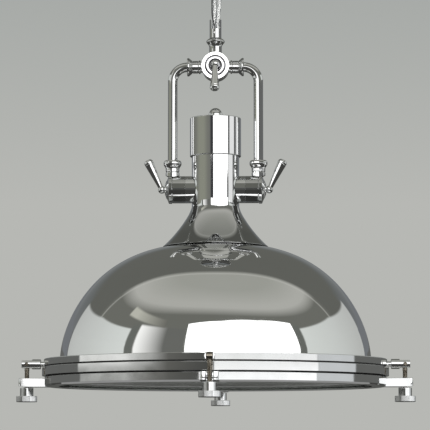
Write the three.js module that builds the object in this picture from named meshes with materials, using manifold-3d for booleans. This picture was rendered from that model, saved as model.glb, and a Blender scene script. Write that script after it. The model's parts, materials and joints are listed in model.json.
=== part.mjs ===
// Industrial pendant lamp: wide chromed dome hung in a tubular yoke below a
// ceiling canopy. Millimetres, +Z up. The origin is the centre of the canopy
// bracket's flat top face, so the whole lamp hangs below z = 0. The yoke legs
// stand at +X and -X, and the hub lever faces -Y.

import * as THREE from 'three';
import { mergeVertices } from 'three/addons/utils/BufferGeometryUtils.js';
import Module from 'manifold-3d';

const wasm = await Module();
wasm.setup();

// ---------------------------------------------------------------- dimensions

const GAP = 0.3;                 // clearance between touching pieces

// canopy at the ceiling
const CANOPY_R = 55;
const CANOPY_DROP = 28;
const CANOPY_WALL = 1.5;
const GLAND_X = 1.0;             // the gland is centred on wire and flex

// wire rope and flex
const WIRE_R = 0.75;
const FLEX_R = 2.3;
const WIRE_TOP = -19.8;
const FLEX_TOP = -14.0;

// stem
const STEM_TOP = -80.5;
const STEM_R = 7.2;
const STEM_BORE_R = 5.7;
const STEM_SLOT_W = 10.6;
const STEM_SLOT_Z = -92.3;
const STEM_COLLAR_Z = -107.4;
const STEM_COLLAR_R = 11.2;
const SET_SCREW_Z = -97.1;

// hub
const HUB_Z = -138.8;
const HUB_R = 16.6;
const HUB_CORE_R = 12.3;
const HUB_FACE_Y = -13.2;
const HUB_SLOT_HALF = 56;        // degrees each side of straight up
const HUB_BALL_Y = -24;

// yoke
const LEG_X = 52;
const TUBE_R = 5.75;
const BEND_R = 18;
const COLLAR_TOP_X = 34.3;
const COLLAR_LOW_Z = -253.6;

// tilt pivot
const PIVOT_Z = -288.8;
const BARREL_R = 16.4;
const BARREL_STEP_R = 17;
const BARREL_X0 = 36.2;
const BARREL_STEP_X = 52;
const BARREL_X1 = 58.6;
const LEVER_BALL_X = 64.9;

// levers
const LEVER_LEN = 40;
const LEVER_TILT = 25.9;         // degrees off the plane square to the axis
const LEVER_BALL_R = 4.6;

// neck
const CAP_R = 30.9;
const CAP_TOP = -201.8;
const CAP_SEAM = -248.9;
const NECK_R = 28.6;
const NECK_WALL = 1.6;
const FLARE_Z = -310;            // crease where the neck starts to flare
const FLARE_ARCS = [[47, 15, 31, 3], [165, 31, 47.3, 5]];   // radius, slopes from and to in degrees, steps
const TRUMPET_BOTTOM = -358.3;
const FINIAL_TOP = -189.1;

// rings
const RIM_TOP = -494.1;
const RIM_R = 205;
const MID_R = 207.2;
const LENS_RING_R = 204;
const RIM_BOTTOM = -502.4;
const MID_TOP = -504.2;
const MID_BOTTOM = -514.0;
const LENS_TOP = -515.8;
const LENS_BOTTOM = -524.4;
const LIP_BOTTOM = -526.5;

// ring clamps
const STUD_R = 226.5;            // distance of the studs from the lamp's axis
const POST_Z = -499.3;
const POST_R = 6;
const POST_IN = 209.9;
const POST_OUT = 232.5;
const EYE_T = 7.2;
const FORK_TOP = -516.1;
const FORK_BOTTOM = -526.8;
const FORK_OUT = 235.5;
const FORK_W = 20.6;
const FORK_SLOT = 8.7;
const NUT_TOP = -527.3;
const NUT_STEP = -537.4;
const NUT_BOTTOM = -544.5;

// ------------------------------------------------------------------ helpers

const DEG = Math.PI / 180;

function clean(geometry) {
  let g = geometry.index ? geometry.clone() : mergeVertices(geometry, 1e-5);
  g.deleteAttribute('normal');
  g.deleteAttribute('uv');
  g = mergeVertices(g, 1e-4);
  const idx = g.index.array;
  const pos = g.attributes.position.array;
  const kept = [];
  let vol = 0;
  for (let i = 0; i < idx.length; i += 3) {
    const [a, b, c] = [idx[i], idx[i + 1], idx[i + 2]];
    if (a === b || b === c || a === c) continue;
    kept.push(a, b, c);
    const [ax, ay, az] = [pos[3 * a], pos[3 * a + 1], pos[3 * a + 2]];
    const [bx, by, bz] = [pos[3 * b], pos[3 * b + 1], pos[3 * b + 2]];
    const [cx, cy, cz] = [pos[3 * c], pos[3 * c + 1], pos[3 * c + 2]];
    vol += ax * (by * cz - bz * cy) + ay * (bz * cx - bx * cz) + az * (bx * cy - by * cx);
  }
  if (vol < 0) {
    for (let i = 0; i < kept.length; i += 3) {
      const t = kept[i + 1];
      kept[i + 1] = kept[i + 2];
      kept[i + 2] = t;
    }
  }
  const out = new THREE.BufferGeometry();
  out.setAttribute('position', new THREE.BufferAttribute(new Float32Array(pos), 3));
  out.setIndex(kept);
  return out;
}

function solid(geometry) {
  const g = clean(geometry);
  return new wasm.Manifold(new wasm.Mesh({
    numProp: 3,
    vertProperties: new Float32Array(g.attributes.position.array),
    triVerts: new Uint32Array(g.index.array),
  }));
}

function toGeometry(manifold) {
  const m = manifold.getMesh();
  const g = new THREE.BufferGeometry();
  g.setAttribute('position', new THREE.BufferAttribute(new Float32Array(m.vertProperties), 3));
  g.setIndex(Array.from(m.triVerts));
  return g;
}

// revolve [radius, height] points about an axis; height runs along the axis
function lathe(points, seg, axis = 'z') {
  const pts = points.map(([r, h]) => new THREE.Vector2(r, h));
  const onAxis = points[0][0] === 0 && points[points.length - 1][0] === 0;
  if (!onAxis) pts.push(pts[0].clone());
  const g = new THREE.LatheGeometry(pts, seg);
  if (axis === 'z') g.rotateX(90 * DEG);
  if (axis === 'x') g.rotateZ(-90 * DEG);
  return g;
}

function box(x0, x1, y0, y1, z0, z1) {
  const g = new THREE.BoxGeometry(x1 - x0, y1 - y0, z1 - z0);
  g.translate((x0 + x1) / 2, (y0 + y1) / 2, (z0 + z1) / 2);
  return g;
}

function rod(r, h0, h1, seg, axis = 'z') {
  return lathe([[0, h0], [r, h0], [r, h1], [0, h1]], seg, axis);
}

// a path through given points, one sweep step between each pair
class Route extends THREE.Curve {
  constructor(points) {
    super();
    this.points = points.map((p) => new THREE.Vector3(...p));
  }

  getPoint(t, target = new THREE.Vector3()) {
    const n = this.points.length - 1;
    const s = Math.min(Math.max(t, 0), 1) * n;
    const i = Math.min(Math.floor(s), n - 1);
    return target.lerpVectors(this.points[i], this.points[i + 1], s - i);
  }

  getUtoTmapping(u) {
    return u;
  }

  getPointAt(u, target) {
    return this.getPoint(u, target);
  }
}

function sweep(points, r, sides) {
  const shape = new THREE.Shape();
  for (let i = 0; i < sides; i += 1) {
    const a = (i + 0.5) * 2 * Math.PI / sides;
    if (i === 0) shape.moveTo(r * Math.cos(a), r * Math.sin(a));
    else shape.lineTo(r * Math.cos(a), r * Math.sin(a));
  }
  shape.closePath();
  return new THREE.ExtrudeGeometry(shape, {
    steps: points.length - 1,
    bevelEnabled: false,
    extrudePath: new Route(points),
  });
}

// smooth curve through a few points, for the cords
function smooth(points, n) {
  const c = new THREE.CatmullRomCurve3(points.map((p) => new THREE.Vector3(...p)), false, 'centripetal');
  return c.getSpacedPoints(n).map((v) => [v.x, v.y, v.z]);
}

const group = new THREE.Group();
group.name = 'industrial_pendant_lamp';

const FINISH = {
  chrome: { color: 0xb9bcbf, roughness: 0.12, metalness: 1.0 },
  steel: { color: 0x8d9092, roughness: 0.35, metalness: 1.0 },
  wire: { color: 0x4a4c4e, roughness: 0.45, metalness: 1.0 },
  clear: { color: 0xe9ecec, roughness: 0.1, metalness: 0.0 },
  rubber: { color: 0x1d1e20, roughness: 0.8, metalness: 0.0 },
  glass: { color: 0xdfe8e8, roughness: 0.05, metalness: 0.0 },
  ceramic: { color: 0xf2efe8, roughness: 0.35, metalness: 0.0 },
  brass: { color: 0xb59a5a, roughness: 0.3, metalness: 1.0 },
  plastic: { color: 0x2a2b2d, roughness: 0.5, metalness: 0.0 },
};

function add(name, shape, finish) {
  const g = shape instanceof THREE.BufferGeometry ? clean(shape) : toGeometry(shape);
  g.computeVertexNormals();
  const mesh = new THREE.Mesh(g, new THREE.MeshStandardMaterial({ ...FINISH[finish], flatShading: true }));
  mesh.name = name;
  group.add(mesh);
  return mesh;
}

const SIDES = [['left', -1], ['right', 1]];

// mirror a piece modelled at +X to -X, keeping its faces outward
function sided(geometry, s) {
  const g = geometry.clone();
  if (s < 0) g.rotateZ(180 * DEG);
  return g;
}

// ------------------------------------------------------------------- canopy

{
  const R = CANOPY_R;
  const H = -CANOPY_DROP;
  const w = CANOPY_WALL;
  const cup = solid(lathe([
    [R - w, -GAP], [R, -GAP], [R, H + 7], [R - 2, H + 2.2], [R - 6.5, H], [2, H],
    [2, H + w], [R - 7, H + w], [R - w, H + 7.4],
  ], 28));
  const glandHole = solid(rod(10.6, H - 3, H + 5, 18)).translate([GLAND_X, 0, 0]);
  const screwHole = solid(rod(2.3, -70, 70, 12, 'x')).translate([0, 0, -5]);
  add('canopy_cup', cup.subtract(glandHole).subtract(screwHole), 'chrome');

  const bracket = solid(lathe([
    [0, 0], [52.9, 0], [52.9, -9], [51.4, -9], [51.4, -2.4], [0, -2.4],
  ], 28));
  const entry = solid(rod(7, -6, 3, 14)).translate([-26, 0, 0]);
  add('ceiling_bracket', bracket.subtract(screwHole).subtract(entry), 'steel');

  for (const [side, s] of SIDES) {
    const head = lathe([[0, 50.6], [2, 50.6], [2, 55.3], [4, 55.3], [4, 56.3], [2.6, 57.4], [0, 57.8]], 12, 'x');
    head.translate(0, 0, -5);
    add(`canopy_screw_${side}`, sided(head, s), 'chrome');
  }

  const gland = lathe([
    [8.8, -20], [10.2, -20], [10.2, -28.3], [14, -28.3], [14, -31], [11.6, -32.2], [11.6, -40.5],
    [10.6, -42], [8.8, -42],
  ], 18);
  gland.translate(GLAND_X, 0, 0);
  add('canopy_gland', gland, 'chrome');

  const grip = lathe([[0, -2.7], [3, -2.7], [3, -17.6], [2, -19.5], [0, -19.5]], 12);
  grip.translate(-4.3, 0, 0);
  add('wire_gripper', grip, 'chrome');

  add('terminal_block', box(-0.9, 12, -6, 6, -13.7, -2.7), 'ceramic');
}

// ------------------------------------------------------------ rope and flex

const WIRE_ROUTE = smooth([
  [-4.3, 0, WIRE_TOP], [-4.3, 0, -30], [-4.3, 0, -42], [-4.3, 0, -56], [-4.3, 0, -68], [-4.2, -0.1, -73],
  [-3.5, -1.0, -78.5], [-2.2, -2.5, -84], [-1.3, -3.4, -88.5], [-1.2, -3.5, -91.7],
], 18);
const FLEX_LEFT_ROUTE = smooth([
  [1.9, 0, FLEX_TOP], [1.7, 0, -20], [0.5, 0, -32], [-0.8, 0.1, -44], [-1.0, 0.2, -56], [-1.0, 0.4, -64],
  [-1.4, 1.1, -74], [-2.0, 1.8, -84], [-2.2, 2.0, -92], [-2.2, 2.0, -102.5],
], 16);
const FLEX_RIGHT_ROUTE = smooth([
  [7.6, 0, FLEX_TOP], [7.4, 0, -20], [6.2, 0, -32], [5.0, 0, -44], [4.8, 0, -56], [4.5, 0, -64],
  [3.6, -0.3, -74], [2.9, -0.5, -84], [2.7, -0.6, -92], [2.7, -0.6, -102.5],
], 16);

add('wire_rope', sweep(WIRE_ROUTE, WIRE_R, 8), 'wire');
add('flex_left', sweep(FLEX_LEFT_ROUTE, FLEX_R, 8), 'clear');
add('flex_right', sweep(FLEX_RIGHT_ROUTE, FLEX_R, 8), 'clear');

{
  const ferrule = lathe([[0, -92], [1.2, -92], [1.5, -92.6], [1.5, -101.4], [1.2, -102], [0, -102]], 10);
  ferrule.translate(-1.2, -3.5, 0);
  add('wire_ferrule', ferrule, 'steel');
}

// --------------------------------------------------------------------- stem

{
  const tube = solid(lathe([
    [STEM_BORE_R, STEM_TOP], [STEM_R - 0.4, STEM_TOP], [STEM_R, STEM_TOP - 0.6],
    [STEM_R, -103.3], [5, -103.3], [5, -112], [0, -112], [0, -103], [STEM_BORE_R, -103],
  ], 20));
  const slot = solid(box(-STEM_SLOT_W / 2, STEM_SLOT_W / 2, -10, 10, STEM_SLOT_Z, STEM_TOP + 2));
  const screwHole = solid(rod(1.8, -12, -3, 10, 'y')).translate([-1.2, 0, SET_SCREW_Z]);
  add('stem_fork', tube.subtract(slot).subtract(screwHole), 'chrome');

  const screw = lathe([[0, -5.3], [1.4, -5.3], [1.4, -7.3], [0, -7.3]], 10, 'y');
  screw.translate(-1.2, 0, SET_SCREW_Z);
  add('stem_set_screw', screw, 'steel');

  add('stem_collar', lathe([
    [5.4, -103.6], [7.3, -103.6], [8.4, -104.4], [10.4, -106.0], [STEM_COLLAR_R, STEM_COLLAR_Z],
    [10.9, -108.8], [8.6, -111.4], [7.7, -113.3], [7.7, -121.8], [4.7, -121.8], [4.7, -112.6], [5.4, -112.6],
  ], 18), 'chrome');
}

// ---------------------------------------------------------------------- hub

{
  // core and upright boss, fixed to the stem
  const core = solid(rod(HUB_CORE_R, -9.0, 10.0, 24, 'y')).translate([0, 0, HUB_Z]);
  const boss = solid(rod(5.9, HUB_Z + 4, -122.1, 18));
  const spigot = solid(rod(4.3, -124, -114.5, 16));
  const bore = solid(rod(3.0, -12, 6, 12, 'y')).translate([0, 0, HUB_Z]);
  add('hub_core', core.add(boss).add(spigot).subtract(bore), 'steel');

  // sleeve with an arc slot on top, closed at the back
  const sleeve = solid(lathe([
    [12.7, -9.4], [HUB_R, -9.4], [HUB_R, 10.8], [15.2, 12.4], [0, 13.0], [0, 10.3], [12.7, 10.3],
  ], 24, 'y')).translate([0, 0, HUB_Z]);
  const a = HUB_SLOT_HALF * DEG;
  const fan = new THREE.Shape();
  fan.moveTo(0, 0);
  for (let i = 0; i <= 8; i += 1) {
    const t = -a + (2 * a * i) / 8;
    fan.lineTo(24 * Math.sin(t), 24 * Math.cos(t));
  }
  fan.closePath();
  const wedge = new THREE.ExtrudeGeometry(fan, { depth: 16.6, bevelEnabled: false });
  wedge.rotateX(90 * DEG);
  wedge.translate(0, 8.3, HUB_Z);
  const spigotHole = solid(rod(4.3, -30, 30, 16, 'x')).translate([0, 0, HUB_Z]);
  const inner = solid(rod(12.7, -9.4, 10.3, 24, 'y')).translate([0, 0, HUB_Z]);
  add('hub_body', sleeve.subtract(solid(wedge).subtract(inner)).subtract(spigotHole), 'chrome');

  // front disc with its annulus and recess, keyed to the core
  const Y = HUB_FACE_Y;
  const disc = lathe([
    [3.2, -9.7], [16.8, -9.7], [17, -10.1], [17, Y + 0.6], [16.4, Y], [12.9, Y], [12.3, Y + 0.5],
    [12.3, Y + 1.7], [3.2, Y + 1.7],
  ], 24, 'y');
  disc.translate(0, 0, HUB_Z);
  add('hub_front_disc', disc, 'chrome');

  const ring = lathe([
    [8.1, Y + 1.4], [11, Y + 1.4], [11, Y - 0.2], [10.4, Y - 0.9], [8.8, Y - 0.9], [8.1, Y - 0.2],
  ], 20, 'y');
  ring.translate(0, 0, HUB_Z);
  add('hub_ring', ring, 'chrome');
}

// ------------------------------------------------------------------- levers

// ball at the origin, axis +X outward, bar leaning outward; up = +1 or -1
function lever(shaft, up) {
  const L = LEVER_LEN;
  const bar = lathe([
    [0, 2], [2.75, 2], [4.2, L * 0.5], [5.5, L - 4], [5.7, L - 2.2], [4.6, L - 0.6], [0, L],
  ], 10);
  bar.rotateY(LEVER_TILT * DEG);
  if (up < 0) bar.rotateX(180 * DEG);
  const ball = new THREE.SphereGeometry(LEVER_BALL_R, 10, 7);
  ball.rotateX(90 * DEG);
  const pin = rod(2.5, -shaft, 0, 8, 'x');
  return toGeometry(solid(bar).add(solid(ball)).add(solid(pin)));
}

{
  // the hub's lever hangs down and leans to the front
  const g = lever(26, -1);
  g.rotateZ(-90 * DEG);
  g.translate(0, HUB_BALL_Y, HUB_Z);
  add('hub_lever', g, 'chrome');
}

// --------------------------------------------------------------------- yoke

for (const [side, s] of SIDES) {
  // upper collar: foot saddled to the hub sleeve, flare at the outer end
  const c = solid(lathe([
    [0, 13.4], [3.9, 13.4], [3.9, 15.4], [7.5, 15.4], [7.4, 20.5], [7.7, 24.5], [8.9, 28.5], [10.6, 31.4],
    [11.2, 32.8], [11.0, COLLAR_TOP_X], [6.1, COLLAR_TOP_X], [6.1, 26], [0, 26],
  ], 16, 'x')).translate([0, 0, HUB_Z]);
  const saddle = solid(rod(HUB_R + GAP, -20, 20, 24, 'y')).translate([0, 0, HUB_Z]);
  const keepSpigot = solid(rod(3.9, 13.4, 18, 16, 'x')).translate([0, 0, HUB_Z]);
  add(`collar_top_${side}`, sided(toGeometry(c.subtract(saddle.subtract(keepSpigot))), s), 'chrome');

  // bent tube
  const pts = [[26.5, 0, HUB_Z]];
  for (let i = 0; i <= 8; i += 1) {
    const t = (i / 8) * 90 * DEG;
    pts.push([LEG_X - BEND_R + BEND_R * Math.sin(t), 0, HUB_Z - BEND_R + BEND_R * Math.cos(t)]);
  }
  pts.push([LEG_X, 0, -262.4]);
  add(`yoke_tube_${side}`, sided(clean(sweep(pts, TUBE_R, 16)), s), 'chrome');

  // lower collar: flare on top, foot saddled to the barrel
  const low = solid(lathe([
    [0, -279], [3.9, -279], [3.9, -275.5], [7.65, -275.5], [7.65, -266.4], [8.1, -262.6], [9.5, -258.6],
    [10.7, -256.4], [10.5, COLLAR_LOW_Z], [6.1, COLLAR_LOW_Z], [6.1, -262.8], [0, -262.8],
  ], 16)).translate([LEG_X, 0, 0]);
  const cradle = solid(rod(BARREL_STEP_R + GAP, 30, 70, 18, 'x')).translate([0, 0, PIVOT_Z]);
  const stud = solid(rod(3.9, -279, -270, 16)).translate([LEG_X, 0, 0]);
  add(`collar_low_${side}`, sided(toGeometry(low.subtract(cradle.subtract(stud))), s), 'chrome');

  // pivot barrel, with a step where the leg lands and a coned outer face
  const barrel = solid(lathe([
    [6.5, BARREL_X0], [BARREL_R, BARREL_X0], [BARREL_R, BARREL_STEP_X - 0.5],
    [BARREL_R - 0.5, BARREL_STEP_X], [BARREL_STEP_R, BARREL_STEP_X + 0.4], [BARREL_STEP_R, 56.2],
    [11.4, BARREL_X1], [3.0, BARREL_X1], [3.0, 49.2], [6.5, 49.2],
  ], 18, 'x')).translate([0, 0, PIVOT_Z]);
  const socket = solid(rod(4.3, -279.6, -268, 16)).translate([LEG_X, 0, 0]);
  add(`pivot_barrel_${side}`, sided(toGeometry(barrel.subtract(socket)), s), 'chrome');

  const end = lathe([
    [3.0, 58.9], [11.2, 58.9], [10.6, 59.4], [5.6, 61.2], [3.0, 61.2],
  ], 24, 'x');
  end.translate(0, 0, PIVOT_Z);
  add(`barrel_end_${side}`, sided(end, s), 'chrome');

  const g = lever(22, 1);
  g.translate(LEVER_BALL_X, 0, PIVOT_Z);
  add(`lever_${side}`, sided(g, s), 'chrome');
}

// --------------------------------------------------------------------- neck

add('neck_finial', lathe([
  [0, FINIAL_TOP], [2.6, -189.6], [5.4, -191.4], [7.6, -194.4], [8.7, -198.6], [9, CAP_TOP + GAP],
  [3.1, CAP_TOP + GAP], [3.1, -211.7], [0, -211.7],
], 20), 'chrome');

add('neck_cap', lathe([
  [3.4, CAP_TOP], [CAP_R - 0.8, CAP_TOP], [CAP_R, CAP_TOP - 0.8], [CAP_R, -246.4],
  [CAP_R - 1.2, CAP_SEAM], [29.1, CAP_SEAM], [29.1, CAP_TOP - 2], [3.4, CAP_TOP - 2],
], 24), 'chrome');

{
  const outer = [[NECK_R, -241], [NECK_R, FLARE_Z]];
  for (const [rho, from, to, n] of FLARE_ARCS) {
    const [r, z] = outer[outer.length - 1];
    for (let i = 1; i <= n; i += 1) {
      const t = (from + ((to - from) * i) / n) * DEG;
      outer.push([r + rho * (Math.cos(from * DEG) - Math.cos(t)), z - rho * (Math.sin(t) - Math.sin(from * DEG))]);
    }
  }
  outer[outer.length - 1][1] = TRUMPET_BOTTOM;
  const inner = [
    [60.9, TRUMPET_BOTTOM], [53.9, -351.2], [43.2, -339.0], [34.4, -326.4], [28.1, -314.0],
    [NECK_R - NECK_WALL, -309], [NECK_R - NECK_WALL, -241],
  ];
  const trumpet = solid(lathe([...outer, ...inner], 24));
  const holes = solid(rod(13.4, -40, 40, 18, 'x')).translate([0, 0, PIVOT_Z]);
  add('neck_trumpet', trumpet.subtract(holes), 'chrome');

  // bosses that carry the barrels, saddled to the neck
  for (const [side, s] of SIDES) {
    const boss = solid(lathe([
      [0, 24.6], [12.9, 24.6], [12.9, 26], [BARREL_R, 26], [BARREL_R, BARREL_X0 - GAP], [6.1, BARREL_X0 - GAP], [6.1, 48.8], [0, 48.8],
    ], 18, 'x')).translate([0, 0, PIVOT_Z]);
    const neck = solid(rod(NECK_R + GAP, -320, -260, 24));
    const plug = solid(rod(12.9, 24.6, 36, 18, 'x')).translate([0, 0, PIVOT_Z]);
    const hole = solid(rod(2.9, 40, 60, 12, 'x')).translate([0, 0, PIVOT_Z]);
    add(`pivot_boss_${side}`, sided(toGeometry(boss.subtract(neck.subtract(plug)).subtract(hole)), s), 'chrome');
  }
}

// --------------------------------------------------------------------- dome

const DOME = [
  [66, -358.9], [82.9, -364.9], [104.6, -373.2], [115.2, -379.3], [125.6, -385.9], [134.6, -392.6],
  [149.2, -407.5], [160.7, -421.4], [172.3, -442.6], [178.2, -456.6], [182.4, -471.2], [186.6, -493.8],
];
{
  const inner = DOME.map(([r, z], i) => {
    const [r0, z0] = DOME[Math.max(0, i - 1)];
    const [r1, z1] = DOME[Math.min(DOME.length - 1, i + 1)];
    const l = Math.hypot(r1 - r0, z1 - z0);
    return [r + (1.3 * (z1 - z0)) / l, z - (1.3 * (r1 - r0)) / l];
  }).filter((p, i) => i % 2 === 0 || i === DOME.length - 1).reverse();
  add('dome_shell', lathe([
    [56, -358.7], [64, -358.7], ...DOME, [186.6, -496.2], [200.9, -496.2], [200.9, -497.6], [185.2, -497.6],
    ...inner, [54.6, -360.1], [54.6, -355.2], [56, -355.2],
  ], 36), 'chrome');
}

// -------------------------------------------------------------------- rings

{
  const S = 36;
  let rim = solid(lathe([
    [187.3, RIM_TOP], [RIM_R - 0.9, RIM_TOP], [RIM_R, RIM_TOP - 0.9], [RIM_R, RIM_BOTTOM], [201.6, RIM_BOTTOM],
    [201.6, -495.9], [187.3, -495.9],
  ], S));
  for (let k = 0; k < 4; k += 1) {
    const hole = rod(2.5, 195, 215, 10, 'x');
    hole.translate(0, 0, POST_Z);
    hole.rotateZ(k * 90 * DEG);
    rim = rim.subtract(solid(hole));
  }
  add('rim_band', rim, 'chrome');

  add('rim_gasket', lathe([[200.9, -502.7], [203.7, -502.7], [203.7, -503.9], [200.9, -503.9]], S), 'rubber');

  add('middle_ring', lathe([
    [196, -497.9], [200.4, -497.9], [200.4, MID_TOP], [MID_R - 0.8, MID_TOP], [MID_R, MID_TOP - 0.8],
    [MID_R, MID_BOTTOM + 0.8], [MID_R - 0.8, MID_BOTTOM], [196, MID_BOTTOM],
  ], S), 'chrome');

  add('lens_gasket', lathe([[193, -514.3], [202.8, -514.3], [202.8, -515.5], [193, -515.5]], S), 'rubber');

  let lens = solid(lathe([
    [199.6, LENS_TOP], [LENS_RING_R - 0.6, LENS_TOP], [LENS_RING_R, LENS_TOP - 0.6],
    [LENS_RING_R, LENS_BOTTOM + 0.6], [LENS_RING_R - 1, LENS_BOTTOM], [200.4, -525.2], [198.4, LIP_BOTTOM],
    [187, LIP_BOTTOM], [187, -524.8], [199.6, -524.8],
  ], S));
  const w = FORK_W / 2;
  const plan = new THREE.Shape();
  plan.moveTo(201.5, -w);
  plan.lineTo(FORK_OUT - 3, -w);
  plan.lineTo(FORK_OUT - 0.9, -w + 0.9);
  plan.lineTo(FORK_OUT, -w + 3);
  plan.lineTo(FORK_OUT, -FORK_SLOT / 2);
  const c = STUD_R - 1.2;
  for (let i = 0; i <= 6; i += 1) {
    const t = (-90 - i * 30) * DEG;
    plan.lineTo(c + (FORK_SLOT / 2) * Math.cos(t), (FORK_SLOT / 2) * Math.sin(t));
  }
  plan.lineTo(FORK_OUT, FORK_SLOT / 2);
  plan.lineTo(FORK_OUT, w - 3);
  plan.lineTo(FORK_OUT - 0.9, w - 0.9);
  plan.lineTo(FORK_OUT - 3, w);
  plan.lineTo(201.5, w);
  plan.closePath();
  for (let k = 0; k < 4; k += 1) {
    const lug = new THREE.ExtrudeGeometry(plan, { depth: FORK_TOP - FORK_BOTTOM, bevelEnabled: false });
    lug.translate(0, 0, FORK_BOTTOM);
    // the underside rises outside the stud, so the nut swings clear
    const rise = new THREE.Shape();
    rise.moveTo(STUD_R, FORK_BOTTOM);
    rise.lineTo(FORK_OUT + 2, FORK_BOTTOM + 1.9);
    rise.lineTo(FORK_OUT + 2, FORK_BOTTOM - 3);
    rise.lineTo(STUD_R, FORK_BOTTOM - 3);
    rise.closePath();
    const under = new THREE.ExtrudeGeometry(rise, { depth: 30, bevelEnabled: false });
    under.rotateX(90 * DEG);
    under.translate(0, 15, 0);
    const piece = solid(lug).subtract(solid(under)).rotate([0, 0, k * 90]);
    lens = lens.add(piece);
  }
  add('lens_ring', lens, 'chrome');

  add('lens_glass', lathe([
    [0, -516.0], [110, -517.2], [199.2, -520.4], [199.2, -524.5], [110, -521.2], [0, -520.0],
  ], 36), 'glass');
}

// ------------------------------------------------------------------- clamps

const CLAMPS = [['right', 0], ['back', 90], ['left', 180], ['front', 270]];
for (const [place, turn] of CLAMPS) {
  const post = solid(lathe([
    [0, 202], [2.2, 202], [2.2, RIM_R + GAP], [3, RIM_R + GAP], [3, POST_IN], [5.5, POST_IN], [POST_R, POST_IN + 0.6],
    [POST_R, POST_OUT - 0.6], [5.5, POST_OUT], [0, POST_OUT],
  ], 12, 'x')).translate([0, 0, POST_Z]);
  const slot = solid(box(219.9, 240, -EYE_T / 2 - GAP, EYE_T / 2 + GAP, POST_Z - 9, POST_Z + 9));
  const pinHole = solid(rod(2.3, -10, 10, 8, 'y')).translate([STUD_R, 0, POST_Z]);
  const p = toGeometry(post.subtract(slot).subtract(pinHole));
  p.rotateZ(turn * DEG);
  add(`clamp_post_${place}`, p, 'chrome');

  const eye = solid(rod(5.9, -EYE_T / 2, EYE_T / 2, 16, 'y'));
  const pin = solid(rod(2.0, -5.7, 5.7, 8, 'y'));
  const shank = solid(rod(2.9, NUT_BOTTOM + 1.6 - POST_Z, 0, 10));
  const b = toGeometry(eye.add(pin).add(shank));
  b.translate(STUD_R, 0, POST_Z);
  b.rotateZ(turn * DEG);
  add(`eye_bolt_${place}`, b, 'chrome');

  const nut = lathe([
    [3.2, NUT_TOP], [7.2, NUT_TOP], [8, NUT_TOP - 0.8], [8, NUT_STEP], [12.4, NUT_STEP],
    [12.4, NUT_BOTTOM + 0.7], [11.8, NUT_BOTTOM], [3.2, NUT_BOTTOM],
  ], 14);
  nut.translate(STUD_R, 0, 0);
  nut.rotateZ(turn * DEG);
  add(`thumb_nut_${place}`, nut, 'chrome');
}

// ------------------------------------------------------------ lamp and bulb

add('lamp_holder', lathe([
  [0, -212.0], [11, -212.0], [16, -215], [19.5, -221], [19.5, -262], [18, -264], [14.2, -264], [14.2, -232],
  [0, -232],
], 18), 'ceramic');

add('bulb_cap', lathe([
  [0, -233.5], [4.5, -233.5], [8, -237], [13.1, -239], [13.1, -263], [11.8, -266.6], [0, -266.6],
], 20), 'brass');

{
  const outer = [
    [12.4, -266.9], [13.6, -273], [17, -294], [22, -312], [30, -330], [40, -350], [44, -366], [42, -382],
    [30, -397], [0, -405],
  ];
  const inner = [
    [0, -403.8], [29.3, -395.8], [40.9, -381.6], [42.8, -366], [38.9, -350.6], [28.9, -330.6], [15.9, -294.3],
    [12.4, -273], [11.2, -266.9],
  ];
  add('bulb_glass', lathe([...outer, ...inner], 16), 'glass');
}

export default group;
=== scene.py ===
import json
import math

import bmesh
import bpy
from mathutils import Matrix, Vector

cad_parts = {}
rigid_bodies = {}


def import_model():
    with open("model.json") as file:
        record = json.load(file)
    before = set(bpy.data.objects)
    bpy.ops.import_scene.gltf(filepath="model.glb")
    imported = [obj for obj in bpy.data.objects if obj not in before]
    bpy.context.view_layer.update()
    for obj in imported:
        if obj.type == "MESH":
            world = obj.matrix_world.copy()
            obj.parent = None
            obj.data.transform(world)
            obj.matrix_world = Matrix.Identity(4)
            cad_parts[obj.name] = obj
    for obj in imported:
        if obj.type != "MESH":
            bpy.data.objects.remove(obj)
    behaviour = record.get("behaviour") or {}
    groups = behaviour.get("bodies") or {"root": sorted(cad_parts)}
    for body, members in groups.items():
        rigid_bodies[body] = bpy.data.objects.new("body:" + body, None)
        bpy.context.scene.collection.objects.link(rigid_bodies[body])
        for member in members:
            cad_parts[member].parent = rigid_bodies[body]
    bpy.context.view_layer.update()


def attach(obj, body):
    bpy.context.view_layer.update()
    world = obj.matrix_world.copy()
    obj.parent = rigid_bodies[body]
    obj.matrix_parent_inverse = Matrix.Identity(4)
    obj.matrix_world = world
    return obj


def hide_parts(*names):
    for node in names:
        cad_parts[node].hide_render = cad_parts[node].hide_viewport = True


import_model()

MM = 0.001
SCENE = bpy.context.scene

# ------------------------------------------------------------ main dimensions
# millimetres, the same as the CAD part's

HUB_Z = -138.8
PIVOT_Z = -288.8
LEG_X = 52.0
POST_Z = -499.3
STUD_R = 226.5
PLACES = (("right", 0), ("back", 90), ("left", 180), ("front", 270))
SIDES = (("left", 180), ("right", 0))

# ------------------------------------------------------------------- camera

ORBIT = math.radians(1.65)
DISTANCE = 2.64
camera_data = bpy.data.cameras.new("camera")
camera_data.lens = 184.186
camera_data.sensor_width = 36.0
camera_data.shift_x = -0.0012
camera_data.clip_start = 0.05
camera_data.clip_end = 60
camera = bpy.data.objects.new("camera", camera_data)
SCENE.collection.objects.link(camera)
camera.location = (DISTANCE * math.sin(ORBIT), -DISTANCE * math.cos(ORBIT), -0.604)
camera.rotation_euler = (math.radians(96.15), 0, ORBIT)
SCENE.camera = camera

# ------------------------------------------------------------------ helpers


def mesh_object(name, verts, faces, smooth_angle=32, mm=True):
    """A mesh object from vertices in millimetres, smooth, with its hard edges kept."""
    k = MM if mm else 1.0
    mesh = bpy.data.meshes.new(name)
    mesh.from_pydata([(x * k, y * k, z * k) for x, y, z in verts], [], faces)
    mesh.update()
    obj = bpy.data.objects.new(name, mesh)
    SCENE.collection.objects.link(obj)
    tidy(obj, smooth_angle)
    return obj


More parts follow.
